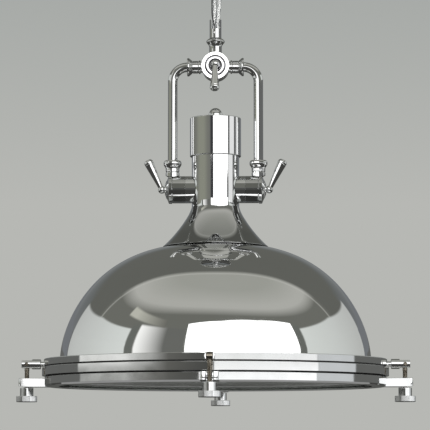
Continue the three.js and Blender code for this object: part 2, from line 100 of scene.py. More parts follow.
def tidy(obj, smooth_angle=32, weld=2e-6, flat_area=None):
    """Welds, orients and smooths a mesh; faces larger than flat_area (mm2) stay flat."""
    bm = bmesh.new()
    bm.from_mesh(obj.data)
    bmesh.ops.remove_doubles(bm, verts=bm.verts, dist=weld)
    loose = [v for v in bm.verts if not v.link_faces]
    if loose:
        bmesh.ops.delete(bm, geom=loose, context="VERTS")
    bmesh.ops.recalc_face_normals(bm, faces=bm.faces)
    bm.to_mesh(obj.data)
    bm.free()
    for p in obj.data.polygons:
        p.use_smooth = True
    obj.data.set_sharp_from_angle(angle=math.radians(smooth_angle))
    if flat_area:
        for p in obj.data.polygons:
            if p.area > flat_area * MM * MM:
                p.use_smooth = False


def fillet(points, step=9):
    """Rounds the corners of a polyline. A point is (r, h) or (r, h, radius)."""
    out = []
    n = len(points)
    for i, p in enumerate(points):
        r = p[2] if len(p) > 2 else 0
        if r <= 0 or i in (0, n - 1):
            out.append((p[0], p[1]))
            continue
        a = Vector(points[i - 1][:2]) - Vector(p[:2])
        b = Vector(points[i + 1][:2]) - Vector(p[:2])
        la, lb = a.length, b.length
        a.normalize()
        b.normalize()
        angle = a.angle(b)
        turn = math.pi - angle
        cut = min(r * math.tan(turn / 2), 0.49 * la, 0.49 * lb)
        rad = cut / math.tan(turn / 2)
        middle = (a + b).normalized() * (rad / math.cos(turn / 2)) + Vector(p[:2])
        start = Vector(p[:2]) + a * cut
        end = Vector(p[:2]) + b * cut
        k = max(2, int(math.degrees(turn) / step + 0.5))
        guard = 0.05
        if la > 2 * cut + 3 * guard:
            out.append(tuple(start + a * guard))
        v0, v1 = start - middle, end - middle
        sweep = math.atan2(v0.x * v1.y - v0.y * v1.x, v0.dot(v1))
        for j in range(k + 1):
            t = sweep * j / k
            c, s = math.cos(t), math.sin(t)
            out.append((middle.x + v0.x * c - v0.y * s, middle.y + v0.x * s + v0.y * c))
        if lb > 2 * cut + 3 * guard:
            out.append(tuple(end + b * guard))
    return out


def ring_fillet(points, step=9):
    """fillet for a closed outline: its corners are rounded all the way round."""
    n = len(points)
    doubled = [points[-1]] + list(points) + [points[0]]
    out = []
    for i in range(1, n + 1):
        part = fillet([doubled[i - 1][:2], doubled[i], doubled[i + 1][:2]], step)
        out.extend(part[1:-1])
    return out


def spline(points, per=8):
    """Centripetal Catmull-Rom through points of any dimension."""
    pts = [Vector(p) for p in points]
    pts = [2 * pts[0] - pts[1]] + pts + [2 * pts[-1] - pts[-2]]
    out = []
    for i in range(1, len(pts) - 2):
        p0, p1, p2, p3 = pts[i - 1 : i + 3]
        t0 = 0.0
        t1 = t0 + max((p1 - p0).length, 1e-9) ** 0.5
        t2 = t1 + max((p2 - p1).length, 1e-9) ** 0.5
        t3 = t2 + max((p3 - p2).length, 1e-9) ** 0.5
        for j in range(per):
            t = t1 + (t2 - t1) * j / per
            a1 = p0 * ((t1 - t) / (t1 - t0)) + p1 * ((t - t0) / (t1 - t0))
            a2 = p1 * ((t2 - t) / (t2 - t1)) + p2 * ((t - t1) / (t2 - t1))
            a3 = p2 * ((t3 - t) / (t3 - t2)) + p3 * ((t - t2) / (t3 - t2))
            b1 = a1 * ((t2 - t) / (t2 - t0)) + a2 * ((t - t0) / (t2 - t0))
            b2 = a2 * ((t3 - t) / (t3 - t1)) + a3 * ((t - t1) / (t3 - t1))
            out.append(tuple(b1 * ((t2 - t) / (t2 - t1)) + b2 * ((t - t1) / (t2 - t1))))
    out.append(tuple(pts[-2]))
    return out


def place(axis, r, h, angle):
    c, s = r * math.cos(angle), r * math.sin(angle)
    if axis == "z":
        return (c, s, h)
    if axis == "x":
        return (h, c, s)
    return (s, h, c)


def lathe(name, profile, seg=128, axis="z", origin=(0, 0, 0), turn=0, closed=None, radius=None, smooth_angle=32, arc=None):
    """Revolves (r, h) points. closed joins the last point to the first; radius(r, h, angle) may reshape it."""
    if closed is None:
        closed = not (abs(profile[0][0]) < 1e-6 and abs(profile[-1][0]) < 1e-6)
    n = len(profile)
    verts, rows = [], []
    for r, h in profile:
        if abs(r) < 1e-6:
            rows.append([len(verts)])
            verts.append(place(axis, 0, h, 0))
        else:
            row = []
            for i in range(seg):
                a = 2 * math.pi * i / seg
                rr = radius(r, h, a) if radius else r
                row.append(len(verts))
                verts.append(place(axis, rr, h, a))
            rows.append(row)
    faces = []
    for k in range(n if closed else n - 1):
        a, b = rows[k], rows[(k + 1) % n]
        if len(a) == 1 and len(b) == 1:
            continue
        for i in range(seg):
            j = (i + 1) % seg
            if len(a) == 1:
                faces.append((a[0], b[i], b[j]))
            elif len(b) == 1:
                faces.append((a[i], b[0], a[j]))
            else:
                faces.append((a[i], b[i], b[j], a[j]))
    c, s = math.cos(math.radians(turn)), math.sin(math.radians(turn))
    ox, oy, oz = origin
    moved = []
    for x, y, z in verts:
        x, y, z = x + ox, y + oy, z + oz
        moved.append((x * c - y * s, x * s + y * c, z))
    return mesh_object(name, moved, faces, smooth_angle)


def frames(points):
    """Tangents and a twist-free normal along a path."""
    pts = [Vector(p) for p in points]
    tangents = []
    for i in range(len(pts)):
        a = pts[max(0, i - 1)]
        b = pts[min(len(pts) - 1, i + 1)]
        tangents.append((b - a).normalized())
    normal = tangents[0].orthogonal().normalized()
    normals = [normal]
    for i in range(1, len(pts)):
        q = tangents[i - 1].rotation_difference(tangents[i])
        normal = q @ normal
        normal = (normal - tangents[i] * normal.dot(tangents[i])).normalized()
        normals.append(normal)
    return pts, tangents, normals


def tube_data(points, r, sides, base=0):
    pts, tangents, normals = frames(points)
    verts, faces = [], []
    for p, t, n in zip(pts, tangents, normals):
        b = t.cross(n)
        for i in range(sides):
            a = 2 * math.pi * i / sides
            verts.append(tuple(p + n * (r * math.cos(a)) + b * (r * math.sin(a))))
    for k in range(len(pts) - 1):
        for i in range(sides):
            j = (i + 1) % sides
            faces.append((base + k * sides + i, base + k * sides + j, base + (k + 1) * sides + j, base + (k + 1) * sides + i))
    last = (len(pts) - 1) * sides
    faces.append(tuple(base + i for i in reversed(range(sides))))
    faces.append(tuple(base + last + i for i in range(sides)))
    return verts, faces


def tube(name, points, r, sides=32, smooth_angle=40, turn=0):
    verts, faces = tube_data(points, r, sides)
    c, s = math.cos(math.radians(turn)), math.sin(math.radians(turn))
    verts = [(x * c - y * s, x * s + y * c, z) for x, y, z in verts]
    return mesh_object(name, verts, faces, smooth_angle)


def strands(name, points, offset, r, count, lay, sides=6, core=True, phase=0.0):
    """Twisted strands round a path: lay is the length of one turn."""
    pts, tangents, normals = frames(points)
    verts, faces = [], []
    length = 0.0
    lengths = [0.0]
    for i in range(1, len(pts)):
        length += (pts[i] - pts[i - 1]).length
        lengths.append(length)
    paths = []
    for k in range(count):
        path = []
        for p, t, n, d in zip(pts, tangents, normals, lengths):
            a = phase + 2 * math.pi * (k / count + d / lay)
            b = t.cross(n)
            path.append(tuple(p + n * (offset * math.cos(a)) + b * (offset * math.sin(a))))
        paths.append(path)
    if core:
        paths.append([tuple(p) for p in pts])
    for path in paths:
        v, f = tube_data(path, r, sides, len(verts))
        verts.extend(v)
        faces.extend(f)
    k = MM
    mesh = bpy.data.meshes.new(name)
    mesh.from_pydata([(x * k, y * k, z * k) for x, y, z in verts], [], faces)
    mesh.update()
    obj = bpy.data.objects.new(name, mesh)
    SCENE.collection.objects.link(obj)
    for p in mesh.polygons:
        p.use_smooth = True
    mesh.set_sharp_from_angle(angle=math.radians(60))
    return obj


def block(name, x0, x1, y0, y1, z0, z1, bevel=0.0, segments=3):
    v = [(x, y, z) for x in (x0, x1) for y in (y0, y1) for z in (z0, z1)]
    f = [(0, 1, 3, 2), (4, 6, 7, 5), (0, 4, 5, 1), (2, 3, 7, 6), (0, 2, 6, 4), (1, 5, 7, 3)]
    obj = mesh_object(name, v, f)
    if bevel:
        bm = bmesh.new()
        bm.from_mesh(obj.data)
        bmesh.ops.bevel(bm, geom=bm.edges[:], offset=bevel * MM, segments=segments, profile=0.5, affect="EDGES")
        bm.to_mesh(obj.data)
        bm.free()
        tidy(obj)
    return obj


def prism(name, outline, z0, z1, origin=(0, 0, 0), axis="z"):
    """Extrudes an outline of (x, y) points from z0 to z1."""
    n = len(outline)
    v = [(x, y, z0) for x, y in outline] + [(x, y, z1) for x, y in outline]
    f = [tuple(reversed(range(n))), tuple(range(n, 2 * n))]
    f += [(i, (i + 1) % n, n + (i + 1) % n, n + i) for i in range(n)]
    if axis == "y":
        v = [(x, -z, y) for x, y, z in v]
    ox, oy, oz = origin
    return mesh_object(name, [(x + ox, y + oy, z + oz) for x, y, z in v], f)


def spin(obj, degrees):
    obj.data.transform(Matrix.Rotation(math.radians(degrees), 4, "Z"))
    obj.data.update()
    return obj


def boolean(obj, tool, operation="DIFFERENCE", smooth_angle=32, keep=False):
    m = obj.modifiers.new("cut", "BOOLEAN")
    m.operation = operation
    m.solver = "EXACT"
    m.object = tool
    bpy.context.view_layer.update()
    deps = bpy.context.evaluated_depsgraph_get()
    new = bpy.data.meshes.new_from_object(obj.evaluated_get(deps))
    obj.modifiers.clear()
    old = obj.data
    obj.data = new
    new.name = obj.name
    bpy.data.meshes.remove(old)
    if not keep:
        data = tool.data
        bpy.data.objects.remove(tool)
        bpy.data.meshes.remove(data)
    tidy(obj, smooth_angle)
    return obj


def rod(name, r, h0, h1, axis="z", origin=(0, 0, 0), seg=48, turn=0):
    return lathe(name, [(0, h0), (r, h0), (r, h1), (0, h1)], seg, axis, origin, turn)


def dress(obj, body, material, nodes=()):
    """Gives a piece its material and the body it rides on, and hides the CAD nodes that it stands for."""
    obj.data.materials.clear()
    obj.data.materials.append(material)
    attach(obj, body)
    if nodes:
        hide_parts(*([nodes] if isinstance(nodes, str) else nodes))
    return obj


# ---------------------------------------------------------------- materials


def srgb(v):
    v = v / 255.0
    return v / 12.92 if v <= 0.04045 else ((v + 0.055) / 1.055) ** 2.4


def grey(r, g=None, b=None):
    g = r if g is None else g
    b = r if b is None else b
    return (srgb(r), srgb(g), srgb(b), 1.0)


class Nodes:
    """Short names for building a node tree."""

    def __init__(self, tree):
        self.tree = tree
        self.nodes = tree.nodes
        self.links = tree.links

    def new(self, kind, **values):
        n = self.nodes.new(kind)
        for k, v in values.items():
            setattr(n, k, v)
        return n

    def put(self, socket, value):
        if isinstance(value, bpy.types.NodeSocket):
            self.links.new(value, socket)
        elif value is not None:
            socket.default_value = value

    def math(self, op, a, b=None, c=None, clamp=False):
        n = self.new("ShaderNodeMath", operation=op, use_clamp=clamp)
        for i, v in enumerate((a, b, c)):
            if v is not None:
                self.put(n.inputs[i], v)
        return n.outputs[0]

    def step(self, value, low, high, out0=0.0, out1=1.0):
        """Smooth step from out0 below low to out1 above high."""
        n = self.new("ShaderNodeMapRange", interpolation_type="SMOOTHSTEP", clamp=True)
        for i, v in enumerate((value, low, high, out0, out1)):
            self.put(n.inputs[i], v)
        return n.outputs[0]

    def ramp(self, value, low, high, out0, out1):
        """Straight line between two values, held outside them."""
        n = self.new("ShaderNodeMapRange", interpolation_type="LINEAR", clamp=True)
        for i, v in enumerate((value, low, high, out0, out1)):
            self.put(n.inputs[i], v)
        return n.outputs[0]

    def band(self, value, low, high, soft=1.0):
        """1 between low and high, 0 outside; low and high may be sockets."""
        def off(x, d):
            return self.math("ADD", x, d) if isinstance(x, bpy.types.NodeSocket) else x + d
        a = self.step(value, off(low, -soft), off(low, soft))
        b = self.step(value, off(high, -soft), off(high, soft), 1.0, 0.0)
        return self.math("MULTIPLY", a, b)

    def mix(self, factor, a, b):
        n = self.new("ShaderNodeMix", data_type="RGBA", blend_type="MIX", clamp_factor=True)
        self.put(n.inputs[0], factor)
        self.put(n.inputs[6], a)
        self.put(n.inputs[7], b)
        return n.outputs[2]


def material(name):
    m = bpy.data.materials.new(name)
    m.use_nodes = True
    m.node_tree.nodes.clear()
    k = Nodes(m.node_tree)
    out = k.new("ShaderNodeOutputMaterial")
    shader = k.new("ShaderNodeBsdfPrincipled")
    k.links.new(shader.outputs[0], out.inputs[0])
    return m, k, shader


def object_noise(k, scale, detail=2.0, stretch=(1, 1, 1)):
    where = k.new("ShaderNodeTexCoord").outputs["Object"]
    if stretch != (1, 1, 1):
        mapping = k.new("ShaderNodeMapping")
        mapping.inputs["Scale"].default_value = stretch
        k.links.new(where, mapping.inputs["Vector"])
        where = mapping.outputs[0]
    n = k.new("ShaderNodeTexNoise")
    n.inputs["Scale"].default_value = scale
    n.inputs["Detail"].default_value = detail
    k.links.new(where, n.inputs["Vector"])
    return n.outputs["Fac"]


def metal(name, light, dark, rough=(0.02, 0.06), scale=30, bump=0.0, bump_scale=60, stretch=(1, 1, 1)):
    m, k, shader = material(name)
    shader.inputs["Metallic"].default_value = 1.0
    fac = object_noise(k, scale, 3.0, stretch)
    k.put(shader.inputs["Base Color"], k.mix(k.step(fac, 0.35, 0.65), dark, light))
    k.put(shader.inputs["Roughness"], k.ramp(object_noise(k, scale * 2.3, 3.0, stretch), 0.35, 0.65, rough[0], rough[1]))
    if bump:
        b = k.new("ShaderNodeBump")
        b.inputs["Strength"].default_value = 1.0
        b.inputs["Distance"].default_value = bump
        k.put(b.inputs["Height"], object_noise(k, bump_scale, 2.0, stretch))
        k.put(shader.inputs["Normal"], b.outputs[0])
    return m


def plain(name, light, dark, rough, scale=60, metallic=0.0, bump=0.0, bump_scale=300):
    m, k, shader = material(name)
    shader.inputs["Metallic"].default_value = metallic
    fac = object_noise(k, scale, 4.0)
    k.put(shader.inputs["Base Color"], k.mix(k.step(fac, 0.3, 0.7), dark, light))
    k.put(shader.inputs["Roughness"], k.ramp(fac, 0.3, 0.7, rough * 0.9, rough * 1.1))
    if bump:
        b = k.new("ShaderNodeBump")
        b.inputs["Distance"].default_value = bump
        k.put(b.inputs["Height"], object_noise(k, bump_scale, 3.0))
        k.put(shader.inputs["Normal"], b.outputs[0])
    return m


CHROME = metal("chrome", (0.94, 0.945, 0.95, 1), (0.915, 0.92, 0.922, 1), rough=(0.015, 0.035))
CHROME_DOME = metal("chrome_spun", (0.94, 0.945, 0.95, 1), (0.92, 0.925, 0.925, 1), rough=(0.02, 0.045), scale=14)
CHROME_RING = metal("chrome_ring", (0.92, 0.925, 0.93, 1), (0.88, 0.885, 0.885, 1), rough=(0.03, 0.07), scale=22)
# a darker copy of the chrome for the pivot barrels: painted shade
CHROME_BARREL_SHADED = metal("chrome_barrel_painted_shade", (0.74, 0.745, 0.745, 1), (0.69, 0.695, 0.70, 1), rough=(0.02, 0.045))
CHROME_SMALL = metal("chrome_cast", (0.92, 0.925, 0.93, 1), (0.87, 0.875, 0.875, 1), rough=(0.04, 0.09), scale=120)


def flare_metal():
    """Chrome painted darker towards the mouth of the trumpet: painted shade on the flare's lower part."""
    m, k, shader = material("chrome_flare")
    shader.inputs["Metallic"].default_value = 1.0
    where = k.new("ShaderNodeSeparateXYZ")
    k.links.new(k.new("ShaderNodeTexCoord").outputs["Object"], where.inputs[0])
    # painted shade: the base colour turns darker below the top of the flare
    low = k.ramp(where.outputs[2], -0.345, -0.310, 1.0, 0.0)
    fac = object_noise(k, 30, 3.0)
    bright = k.mix(fac, (0.94, 0.945, 0.95, 1), (0.915, 0.92, 0.922, 1))
    k.put(shader.inputs["Base Color"], k.mix(low, bright, (0.58, 0.585, 0.59, 1)))
    k.put(shader.inputs["Roughness"], k.ramp(fac, 0.35, 0.65, 0.02, 0.045))
    return m


CHROME_FLARE = flare_metal()
REFLECTOR = plain("reflector_white", (0.84, 0.84, 0.82, 1), (0.78, 0.78, 0.76, 1), 0.45, scale=25)
# steel for the eye bolts, made dark brown: painted shade between the post's prongs
BOLT_SHADED = metal("bolt_steel_painted_shade", (0.42, 0.38, 0.32, 1), (0.26, 0.23, 0.19, 1), rough=(0.16, 0.28), scale=160)
STEEL = metal("steel", (0.62, 0.62, 0.61, 1), (0.50, 0.50, 0.49, 1), rough=(0.25, 0.4), scale=90)
WIRE = metal("wire_steel", (0.17, 0.172, 0.175, 1), (0.09, 0.092, 0.094, 1), rough=(0.3, 0.45), scale=900)
# dark metal for the hub face's recess: painted shade
RECESS_SHADE = metal("recess_painted_shade", (0.34, 0.34, 0.35, 1), (0.24, 0.24, 0.25, 1), rough=(0.10, 0.18), scale=140)
TINNED = plain("tinned_braid", (0.97, 0.97, 0.96, 1), (0.88, 0.88, 0.87, 1), 0.32, scale=500, metallic=0.15, bump=0.00012, bump_scale=2600)
RUBBER = plain("rubber_black", (0.022, 0.022, 0.024, 1), (0.012, 0.012, 0.013, 1), 0.6, scale=200)
CERAMIC = plain("ceramic_white", (0.86, 0.85, 0.82, 1), (0.80, 0.79, 0.76, 1), 0.22, scale=40)
CAP = metal("cap_brass", (0.80, 0.74, 0.58, 1), (0.66, 0.59, 0.43, 1), rough=(0.15, 0.3), scale=80)


def clear_plastic():
    m, k, shader = material("clear_jacket")
    fac = object_noise(k, 400, 2.0)
    k.put(shader.inputs["Base Color"], k.mix(fac, (0.93, 0.95, 0.95, 1), (0.99, 0.99, 0.99, 1)))
    k.put(shader.inputs["Roughness"], k.ramp(fac, 0.3, 0.7, 0.02, 0.08))
    shader.inputs["IOR"].default_value = 1.12
    shader.inputs["Transmission Weight"].default_value = 1.0
    return m


def lens_material():
    m, k, shader = material("lens_clear")
    fac = object_noise(k, 35, 2.0)
    k.put(shader.inputs["Base Color"], k.mix(fac, (0.93, 0.965, 0.955, 1), (0.97, 0.985, 0.98, 1)))
    k.put(shader.inputs["Roughness"], k.ramp(fac, 0.3, 0.7, 0.03, 0.07))
    shader.inputs["IOR"].default_value = 1.5
    shader.inputs["Transmission Weight"].default_value = 1.0
    out = next(n for n in m.node_tree.nodes if n.type == "OUTPUT_MATERIAL")
    path = k.new("ShaderNodeLightPath")
    sheet = k.new("ShaderNodeBsdfTransparent")
    sheet.inputs[0].default_value = (0.93, 0.95, 0.945, 1)
    mixed = k.new("ShaderNodeMixShader")
    k.put(mixed.inputs[0], k.math("MAXIMUM", path.outputs["Is Shadow Ray"], path.outputs["Is Diffuse Ray"]))
    k.links.new(shader.outputs[0], mixed.inputs[1])
    k.links.new(sheet.outputs[0], mixed.inputs[2])
    k.links.new(mixed.outputs[0], out.inputs[0])
    return m


def opal_material():
    m, k, shader = material("bulb_opal")
    fac = object_noise(k, 45, 2.0)
    k.put(shader.inputs["Base Color"], k.mix(fac, (0.90, 0.895, 0.87, 1), (0.84, 0.835, 0.81, 1)))
    k.put(shader.inputs["Roughness"], k.ramp(fac, 0.3, 0.7, 0.22, 0.32))
    shader.inputs["IOR"].default_value = 1.5
    shader.inputs["Transmission Weight"].default_value = 0.25
    return m


CLEAR = clear_plastic()
LENS = lens_material()
OPAL = opal_material()

# -------------------------------------------------------------------- cords
# the routes are the CAD part's, in millimetres

WIRE_ROUTE = [
    (-4.3, 0, -19.8), (-4.3, 0, -23.831), (-4.3, 0, -27.862), (-4.3, 0, -31.894), (-4.3, 0, -35.925),
    (-4.3, 0, -39.957), (-4.3, 0, -43.988), (-4.3, 0, -48.02), (-4.3, 0, -52.051), (-4.3, 0, -56.088),
    (-4.307, 0.007, -60.114), (-4.314, 0.014, -64.145), (-4.298, -0.002, -68.177), (-4.248, -0.042, -72.206),
    (-3.866, -0.54, -76.185), (-3.171, -1.392, -80.06), (-2.237, -2.46, -83.834), (-1.415, -3.288, -87.691),
    (-1.2, -3.5, -91.7),
]
FLEX_LEFT_ROUTE = [
    (1.9, 0, -14), (1.729, 0, -19.542), (1.244, -0.005, -25.066), (0.651, -0.005, -30.58), (0.022, 0.027, -36.089),
    (-0.609, 0.078, -41.598), (-0.934, 0.122, -47.132), (-0.991, 0.159, -52.678), (-1.002, 0.235, -58.222),
    (-0.996, 0.389, -63.764), (-1.177, 0.746, -69.295), (-1.443, 1.159, -74.819), (-1.796, 1.575, -80.337),
    (-2.071, 1.877, -85.867), (-2.192, 1.993, -91.409), (-2.216, 2.016, -96.954), (-2.2, 2, -102.5),
]
FLEX_RIGHT_ROUTE = [
    (7.6, 0, -14), (7.429, 0, -19.541), (6.939, 0, -25.063), (6.346, 0, -30.577), (5.753, 0, -36.089),
    (5.176, 0, -41.603), (4.883, 0, -47.138), (4.842, 0, -52.684), (4.741, 0.007, -58.226), (4.515, 0.003, -63.765),
    (4.04, -0.149, -69.287), (3.536, -0.32, -74.806), (3.117, -0.436, -80.333), (2.823, -0.53, -85.869),
    (2.707, -0.596, -91.411), (2.684, -0.608, -96.955), (2.7, -0.6, -102.5),
]


wire_path = spline(WIRE_ROUTE, 8)
wire = strands("wire_rope_strands", wire_path, 0.49, 0.262, 6, 11.0, sides=8)
dress(wire, "root", WIRE, "wire_rope")

ferrule = lathe(
    "wire_end_ferrule",
    fillet([
        (0, -92), (1.2, -92, 0.2), (1.5, -92.6, 0.2), (1.5, -94.2, 0.1), (1.32, -94.6, 0.1), (1.32, -95.6, 0.1),
        (1.5, -96, 0.1), (1.5, -98, 0.1), (1.32, -98.4, 0.1), (1.32, -99.4, 0.1), (1.5, -99.8, 0.1),
        (1.5, -101.4, 0.3), (1.2, -102, 0.2), (0, -102),
    ]),
    40, origin=(-1.2, -3.5, 0),
)
dress(ferrule, "root", STEEL, "wire_ferrule")

for side, route in (("left", FLEX_LEFT_ROUTE), ("right", FLEX_RIGHT_ROUTE)):
    path = spline(route, 6)
    jacket = tube(f"flex_jacket_{side}", path, 2.3, 32)
    dress(jacket, "root", CLEAR, f"flex_{side}")
    core = strands(f"flex_conductor_{side}", path[1:-1], 0.95, 0.92, 3, 34.0 if side == "left" else 41.0, sides=16, core=False, phase=0.7)
    dress(core, "root", TINNED)

# ------------------------------------------------------------------- canopy

cup = lathe("canopy_bell", ring_fillet([
    (53.5, -0.3, 0.3), (55, -0.3, 0.4), (55, -19.6, 0.5), (54.3, -20.3, 0.3), (54.3, -21.2, 0.3), (55, -21.9, 0.5),
    (55, -28, 5.6), (3, -28, 0), (3, -26.5, 0), (53.5, -26.5, 4.4),
]), 192)
boolean(cup, rod("tool", 10.6, -34, -20, origin=(1, 0, 0), seg=64))
boolean(cup, rod("tool", 2.3, -70, 70, "x", (0, 0, -5), 32))
dress(cup, "root", CHROME, "canopy_cup")

bracket = lathe("ceiling_plate", fillet([
    (0, 0), (52.9, 0, 0.5), (52.9, -9, 0.3), (51.4, -9, 0.3), (51.4, -2.4, 1.2), (0, -2.4),
]), 160)
boolean(bracket, rod("tool", 2.3, -70, 70, "x", (0, 0, -5), 32))
boolean(bracket, rod("tool", 7, -6, 3, origin=(-26, 0, 0), seg=48))
for y in (-34, 34):
    slot_cut = block("tool", -9, 9, y - 2.4, y + 2.4, -6, 3)
    boolean(bracket, slot_cut)
    for x in (-9, 9):
        boolean(bracket, rod("tool", 2.4, -6, 3, origin=(x, y, 0), seg=32))
dress(bracket, "root", STEEL, "ceiling_bracket")

for side, turn in SIDES:
    head = lathe(f"canopy_screw_head_{side}", fillet([
        (0, 50.6), (2, 50.6, 0.2), (2, 55.35), (4, 55.35, 0.2), (4, 56.3, 0.5), (2.6, 57.4, 0.8), (0, 57.8),
    ]), 48, "x", (0, 0, -5))
    boolean(head, block("tool", 56.7, 60, -0.5, 0.5, -8.6, -1.4))
    spin(head, turn)
    dress(head, "root", CHROME_SMALL, f"canopy_screw_{side}")


def knurl(depth, teeth, low, high):
    def radius(r, h, a):
        if low <= h <= high and r > 5:
            return r - depth * (0.5 - 0.5 * math.cos(teeth * a)) ** 0.8
        return r
    return radius


gland = lathe("canopy_cord_grip", ring_fillet([
    (8.8, -20, 0.2), (10.2, -20, 0.4), (10.2, -28.35, 0.1), (14, -28.35, 0.3), (14, -31, 0.6), (11.6, -32.2, 0.5),
    (11.6, -34.2, 0.2), (11.0, -34.6, 0.2), (11.0, -35.4, 0.2), (11.6, -35.8, 0.2), (11.6, -40.5, 0.8),
    (10.6, -42, 0.6), (8.8, -42, 0.4),
]), 128, origin=(1, 0, 0))
dress(gland, "root", CHROME, "canopy_gland")

insert = lathe("canopy_grip_insert", fillet([(0, -37.6), (8.7, -37.6, 0.2), (8.7, -40.8, 0.5), (0, -41.0)]), 96, origin=(1, 0, 0))
boolean(insert, rod("tool", 0.95, -50, -30, origin=(-4.3, 0, 0), seg=32))
boolean(insert, rod("tool", 2.62, -50, -30, origin=(-0.32, 0.05, 0), seg=48))
boolean(insert, rod("tool", 2.62, -50, -30, origin=(5.45, 0, 0), seg=48))
dress(insert, "root", RUBBER)

grip = lathe("rope_gripper", fillet([
    (0, -2.7), (3, -2.7, 0.3), (3, -5.2, 0.1), (2.7, -5.5, 0.1), (2.7, -6.5, 0.1), (3, -6.8, 0.1), (3, -17.6, 0.3),
    (2, -19.5, 0.3), (0, -19.5),
]), 48, origin=(-4.3, 0, 0))
dress(grip, "root", CHROME_SMALL, "wire_gripper")

terminals = block("terminal_strip", -0.9, 12, -6, 6, -13.7, -2.7, 0.8)
for y in (-3.4, 0.0, 3.4):
    boolean(terminals, rod("tool", 1.1, -2, 14, "x", (0, y, -10.6), 24))
    boolean(terminals, rod("tool", 1.2, -5.6, 0, origin=(3.0, y, 0), seg=24))
    boolean(terminals, rod("tool", 1.2, -5.6, 0, origin=(8.2, y, 0), seg=24))
dress(terminals, "root", CERAMIC, "terminal_block")

# --------------------------------------------------------------------- stem

stem = lathe("stem_fork_tube", ring_fillet([
    (5.7, -80.5, 0.3), (7.2, -80.5, 0.5), (7.2, -103.3, 0.2), (5, -103.3, 0), (5, -112, 0.3), (0.02, -112, 0),
    (0.02, -103, 0), (5.7, -103, 0.6),
]), 128)
slot_tool = block("tool", -5.3, 5.3, -10, 10, -92.3, -70, 0.9)
boolean(stem, slot_tool)
boolean(stem, rod("tool", 1.8, -12, -3, "y", (-1.2, 0, -97.1), 40))
dress(stem, "root", CHROME, "stem_fork")

set_screw = lathe("stem_grub_screw", fillet([(0, -5.3), (1.4, -5.3, 0.2), (1.4, -7.3, 0.3), (0, -7.3)]), 40, "y", (-1.2, 0, -97.1))
boolean(set_screw, block("tool", -1.4, -1.0, -8, -6.6, -99, -95))
dress(set_screw, "root", STEEL, "stem_set_screw")

flare = spline([(7.2, -103.6), (8.5, -104.25), (10.2, -105.5), (11.1, -106.8), (11.2, -107.6), (10.8, -108.7),
                (9.6, -110.2), (8.5, -111.7), (7.85, -113.4), (7.7, -115.5)], 6)
collar = lathe("stem_flare_collar", [(5.4, -103.6)] + flare + fillet([
    (7.7, -117), (7.7, -121.8, 0.5), (4.7, -121.8, 0.2), (4.7, -112.6), (5.4, -112.6)])[0:], 128)
dress(collar, "root", CHROME, "stem_collar")

# ---------------------------------------------------------------------- hub

core = rod("hub_inner_core", 12.3, -9.0, 10.0, "y", (0, 0, HUB_Z), 96)
boolean(core, rod("tool", 5.9, HUB_Z + 4, -122.1, seg=64), "UNION")
boolean(core, rod("tool", 4.3, -124, -114.5, seg=64), "UNION")
boolean(core, rod("tool", 3.0, -12, 6, "y", (0, 0, HUB_Z), 48))
dress(core, "root", STEEL, "hub_core")

sleeve = lathe("hub_sleeve", ring_fillet([
    (12.7, -9.4, 0.1), (16.6, -9.4, 0.5), (16.6, 10.8, 0.8), (15.2, 12.4, 1.2), (0.02, 13.0, 0), (0.02, 10.3, 0), (12.7, 10.3, 0.3),
]), 128, "y", (0, 0, HUB_Z))
half = math.radians(56)
fan = [(0, 0)] + [(24 * math.sin(-half + 2 * half * i / 24), 24 * math.cos(-half + 2 * half * i / 24)) for i in range(25)]
wedge = prism("tool_wedge", fan, -8.3, 8.3, (0, 0, HUB_Z), "y")
boolean(wedge, rod("tool", 12.7, -20, 20, "y", (0, 0, HUB_Z), 128))
boolean(sleeve, wedge)
boolean(sleeve, rod("tool", 4.3, -30, 30, "x", (0, 0, HUB_Z), 64))
dress(sleeve, "yoke", CHROME, "hub_body")

disc = lathe("hub_face_disc", ring_fillet([
    (3.2, -9.7, 0), (17, -9.7, 0.3), (17, -13.2, 0.55), (12.9, -13.2, 0.3), (11.9, -11.6, 0.3), (10.9, -11.3, 0.2), (7.9, -11.3, 0.2),
    (7.2, -12.0, 0.6), (5.2, -13.3, 1.6), (3.2, -13.7, 0),
], 6), 160, "y", (0, 0, HUB_Z))
dress(disc, "root", CHROME, "hub_front_disc")
disc.data.materials.append(RECESS_SHADE)
# the recess faces inside the face ring get the dark metal: painted shade in the recess
for p in disc.data.polygons:
    if math.hypot(p.center.x, p.center.z - HUB_Z * MM) < 12.75 * MM and p.center.y < -10.5 * MM:
        p.material_index = 1

ring = lathe("hub_face_ring", ring_fillet([
    (8.1, -11.8, 0.1), (11, -11.8, 0.1), (10.7, -14.1, 0.5), (8.3, -14.1, 0.5),
]), 128, "y", (0, 0, HUB_Z))
dress(ring, "root", CHROME, "hub_ring")


def lever(name, shaft, down=False, stretch=1.0):
    """Ball at the origin, shaft along -X, bar up and leaning to +X."""
    bar = lathe(name, fillet([
        (0, 2), (2.75, 2), (3.35, 10, 40), (4.3, 21, 60), (5.25, 32, 60), (5.5, 34.2, 0.3), (5.32, 34.6, 0.2), (5.55, 35.0, 0.3),
        (5.7, 37.0, 2.2), (4.0, 39.75, 2.0), (0, 40),
    ], 6), 64)
    bar.data.transform(Matrix.Rotation(math.radians(25.9), 4, "Y") @ Matrix.Diagonal((1, 1, stretch, 1)))
    if down:
        bar.data.transform(Matrix.Rotation(math.radians(180), 4, "X"))
    ball = lathe("tool", [(4.6 * math.sin(math.pi * i / 28), 4.6 * math.cos(math.pi * i / 28)) for i in range(29)], 64, "x")
    boolean(bar, ball, "UNION")
    boolean(bar, rod("tool", 2.5, -shaft, 0, "x", seg=48), "UNION")
    return bar


hub_lever = lever("hub_lever_arm", 26, True, 0.96)
hub_lever.data.transform(Matrix.Translation((0, -24 * MM, HUB_Z * MM)) @ Matrix.Rotation(math.radians(-90), 4, "Z"))
dress(hub_lever, "hub_lever", CHROME, "hub_lever")

# --------------------------------------------------------------------- yoke

